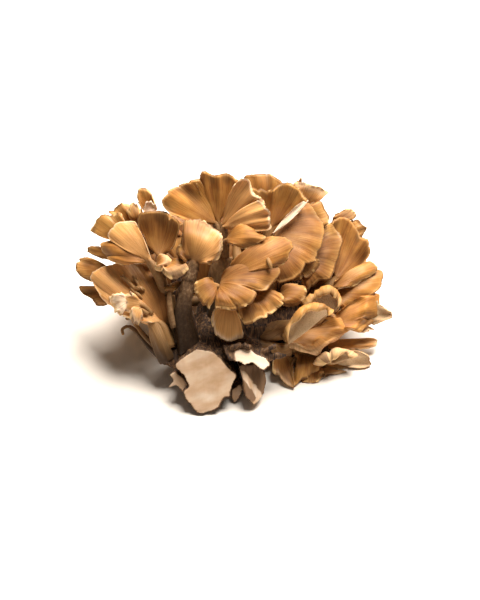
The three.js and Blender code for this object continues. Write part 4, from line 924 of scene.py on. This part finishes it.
bm = new_skin()
for cut in STUMPS:
    face, back = Vector(cut["at"]), Vector(cut["back"])
    gx, gy = cut["slope"]
    centre = sum((Vector(p) for p in cut["outline"]), Vector((0, 0))) / len(cut["outline"])
    front = []
    for x, y in cut["outline"]:
        front.append(bm.verts.new((x, y, face.z + gx * (x - face.x) + gy * (y - face.y))))
    doubled = bmesh.ops.extrude_face_region(bm, geom=[bm.faces.new(front)], use_keep_orig=True)["geom"]
    for vert in (item for item in doubled if isinstance(item, bmesh.types.BMVert)):
        spread = (vert.co.to_2d() - centre) * cut["shrink"]
        vert.co = Vector((back.x + spread.x, back.y + spread.y, back.z))
for i, (points, radii) in enumerate(CORE):
    add_limb(bm, points, radii, 3 + i, rough=0.3)
bmesh.ops.remove_doubles(bm, verts=bm.verts, dist=1e-4)
bmesh.ops.recalc_face_normals(bm, faces=bm.faces)
rough_butt = mesh_object(bm, "butt_rough")
fuse = rough_butt.modifiers.new("fuse", "REMESH")
fuse.mode = "VOXEL"
fuse.voxel_size = VOXEL
graph = bpy.context.evaluated_depsgraph_get()
fused_mesh = bpy.data.meshes.new_from_object(rough_butt.evaluated_get(graph))
bpy.data.objects.remove(rough_butt)

# The remesh leaves a few crumbs beside the body, which is the largest run of joined points.
bm = bmesh.new()
bm.from_mesh(fused_mesh)
waiting, body = set(bm.verts), []
while waiting:
    found = [waiting.pop()]
    for vert in found:
        for edge in vert.link_edges:
            if edge.other_vert(vert) in waiting:
                found.append(edge.other_vert(vert))
                waiting.remove(found[-1])
    body = max(body, found, key=len)
bmesh.ops.delete(bm, geom=list(set(bm.verts) - set(body)), context="VERTS")
fan = bm.verts.layers.float_vector.new("fan")
skin = bm.verts.layers.float_vector.new("skin")
bmesh.ops.smooth_vert(bm, verts=bm.verts, factor=0.5, use_axis_x=True, use_axis_y=True, use_axis_z=True)
bm.normal_update()

# The cuts are kept flat and bare, and the rest of the skin is raised in fibres and lumps.
for vert in bm.verts:
    p = vert.co.copy()
    cut_share = white_share = 0.0
    for cut in STUMPS:
        gx, gy = cut["slope"]
        plane = Vector((-gx, -gy, 1)).normalized()
        off = abs((p - Vector(cut["at"])).dot(plane))
        nick = NICKS[0] * noise.noise(p / NICKS[1])
        on_cut = 1 - smooth(off + nick, 0.3, CUT_SKIN)
        on_cut *= smooth(vert.normal.dot(plane) + 0.2 * nick, *CUT_FACING)
        on_cut *= inside(cut["outline"], p.x, p.y)
        if "left" in cut:
            on_cut *= smooth(p.x + nick, cut["left"] - 1, cut["left"] + 1)
        cut_share = max(cut_share, cut["bare"] * on_cut)
        white_share = max(white_share, cut.get("white", 0) * on_cut)
    for a, b in PALE_STRIPS:
        a, b = Vector(a), Vector(b)
        along = min(max((p.to_2d() - a).dot(b - a) / (b - a).length_squared, 0), 1)
        away = (p.to_2d() - a.lerp(b, along)).length + 0.8 * noise.noise(p / 1.8)
        cut_share = max(cut_share, STRIP_BARE * (1 - smooth(away, *STRIP_EDGE)) * smooth(p.z, 0, 4))
    high, wide, long = FIBRES
    fibre = high * noise.noise((p.x / wide, p.y / long, p.z / wide))
    lump = noise.noise(p / LUMP_LONG)
    rise = (fibre + SKIN_LUMPS * lump) * (1 - cut_share) + CUT_LUMPS * lump * cut_share
    vert.co = p + vert.normal * rise
    vert[fan] = p
    vert[skin] = (cut_share, white_share, 0)

# Dense cut flesh is smooth, cream and faintly cloudy, and the skin that it was cut from is rough and
# fibrous with earth in it. The points carry their own place in mm and their share of cut and of white.
# The skin's fibres are 0.9 mm across and 6 mm long, the flesh's clouds 14 by 9 mm.
butt_flesh = new_material("cut maitake flesh in earthy skin")
butt_place = add_node(butt_flesh, "Attribute", {"attribute_name": "fan"}).outputs["Vector"]
butt_skin = add_node(butt_flesh, "Attribute", {"attribute_name": "skin"}).outputs["Vector"]
cut_level, white_level, _ = add_node(butt_flesh, "SeparateXYZ", {}, {0: butt_skin}).outputs
grains = []
for across, along, detail, bend in ((0.9, 6, 5, 0.6), (14, 9, 3, 0)):
    ray = add_node(butt_flesh, "Mapping", {}, {"Vector": butt_place, "Scale": (1 / across, 1 / along, 1)})
    grain = {"Vector": ray.outputs[0], "Scale": 1, "Detail": detail, "Distortion": bend}
    grains.append(add_node(butt_flesh, "TexNoise", {}, grain).outputs["Fac"])
fibres, clouds = grains
ramps = []
for pattern, stops in (
    # the darkest browns are partly the earthy skin's own colour and partly painted shade for the hollow
    # among the fronds
    (fibres, [(0.3, "#1d120b"), (0.48, "#422b19"), (0.66, "#7d5b39"), (0.8, "#b28d62")]),
    (clouds, [(0.3, "#c69f78"), (0.46, "#d6b391"), (0.6, "#e0c3a4"), (0.78, "#ecd6c0")]),
    (fibres, [(0.35, "#a0805c"), (0.65, "#ffffff")]),
):
    ramps.append(add_node(butt_flesh, "ValToRGB", {"stops": stops}, {"Fac": pattern}).outputs["Color"])
butt_colour, flesh, threads = ramps
shares = []
for levels in ((0, 0.4, 0, 1), (0.4, 0.9, 0, 1), (0, 1, 0.7, 0.08)):
    made = add_node(butt_flesh, "MapRange", SMOOTH, dict(enumerate((cut_level, *levels))))
    shares.append(made.outputs["Result"])
rind_share, flesh_share, roughened = shares
for share, colour, blend in ((0.05, threads, STAIN), (white_level, "#f2dcc2", COLOURS)):
    flesh = add_node(butt_flesh, "Mix", blend, {0: share, 6: flesh, 7: colour}).outputs[2]
for share, colour in ((rind_share, "#86664a"), (flesh_share, flesh)):
    butt_colour = add_node(butt_flesh, "Mix", COLOURS, {0: share, 6: butt_colour, 7: colour}).outputs[2]
relief = {"Strength": roughened, "Distance": 0.0005, "Height": fibres}
butt_shader = add_node(
    butt_flesh,
    "BsdfPrincipled",
    {},
    {
        "Base Color": butt_colour,
        "Roughness": 0.75,
        "IOR": 1.4,
        "Subsurface Weight": 0.1,
        "Subsurface Radius": (1, 0.6, 0.35),
        "Subsurface Scale": 0.002,
        "Normal": add_node(butt_flesh, "Bump", {}, relief).outputs[0],
    },
)
add_node(butt_flesh, "OutputMaterial", {}, {"Surface": butt_shader.outputs[0]})

butt = finish_piece(bm, "butt_body", butt_flesh)
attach(butt, "root")
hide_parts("butt")

# ---- Hidden caps ----
# Round the back of the head the butt carries rings of plain fans, the outermost near the table. They are
# of the same skin and flesh, and each grew from the core inside the head.

# Each ring is its caps' turns and lean in degrees, and in mm how low and how far back its middle lies, how
# far its caps stand up, across and back from there, and their reach.
RINGS = [
    ((-98, -64, -34, -4, 26), 86, -6, -22, 22, 33, 15, 24.5),
    ((-82, -48, -18, 10, 40), 60, 10, -23, 8, 30, 13, 28),
    ((-62, -22, 20), 36, 22, -20, 6, 24, 12, 26),
    ((0,), 14, 24, -15, 4, 20, 3, 24),
]
RING_MIDDLE = -2  # mm
RING_SPREAD = 44  # half a fan's turn, degrees
RING_RIM = (-1, -0.5, 0.05, 0.55, 1)
RING_WOBBLE = 0.07  # how far the rim goes in and out
RING_FALL = 0.25  # how much shorter a fan is at its sides
# The hidden caps' dark tones are painted shade, darkest on the inner caps.
RING_SHADE_TONE, INNER_SHADE_TONE = 0.75, 0.9


def core_fork(root):
    """Where in the core a cap's stalk starts."""
    return (root[0] * 0.4, root[1] * 0.7, -18)


bm = new_skin()
for number, (turns, lean, low, back, lift, across, deep, reach) in enumerate(RINGS):
    lean = math.radians(lean)
    for order, degrees in enumerate(turns):
        turn = math.radians(degrees)
        sine, cosine = math.sin(turn), math.cos(turn)
        root = Vector((RING_MIDDLE + across * sine, low + lift * cosine, back - deep * cosine))
        out = Vector((math.sin(lean) * sine, math.cos(lean), -math.sin(lean) * cosine))
        up = Vector((-math.cos(lean) * sine, math.sin(lean), math.cos(lean) * cosine))
        side = up.cross(out)
        rim = []
        for i, share in enumerate(RING_RIM):
            spread = math.radians(RING_SPREAD * share)
            wobble = 1 + RING_WOBBLE * math.sin(2.4 * i + 1.7 * order)
            length = reach * (1 - RING_FALL * share**2) * wobble
            rim.append(root + (out * math.cos(spread) + side * math.sin(spread)) * length)
        hidden = cap(root, None, (2.5, 1.2, 0.37 * order), up=up, rim=rim, bulge=3)
        add_cap(bm, hidden, core_fork(root), 4, RING_SHADE_TONE, 0, 10 * number + order)

back_caps = finish_piece(bm, "back_caps", cap_skin)
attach(back_caps, "root")
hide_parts("butt")

# ---- Inner caps ----
# Four caps fill the inside of the head, where they show between the fronds in front. Their dark brown
# is painted shade. They grew from the core too, with no light on them.
INNER_CAPS = [
    cap((-40, 0, -12), (0, -0.1), (2, 1, 0.1), bulge=2,
        rim=((-62, 8), (-58, 20), (-46, 25), (-35, 23), (-29, 14))),
    cap((-18, 6, -18), (0, -0.05), (2, 1, 0.4), bulge=2,
        rim=((-37, 20), (-36, 34), (-25, 41), (-12, 39), (-3, 30), (0, 18))),
    cap((14, 10, -26), (0, 0), (2, 1, 0.7), bulge=2,
        rim=((-2, 26), (2, 42), (16, 49), (31, 46), (40, 34), (38, 18))),
    cap((36, 0, -25), (0, 0), (2, 1, 0.2), bulge=2,
        rim=((24, 12), (32, 24), (45, 25), (56, 14), (60, 0), (55, -9))),
]

bm = new_skin()
for i, inner in enumerate(INNER_CAPS):
    add_cap(bm, inner, core_fork(inner["root"]), 4, INNER_SHADE_TONE, 0, 60 + i)

inner_caps = finish_piece(bm, "inner_caps", cap_skin)
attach(inner_caps, "root")
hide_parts("butt")
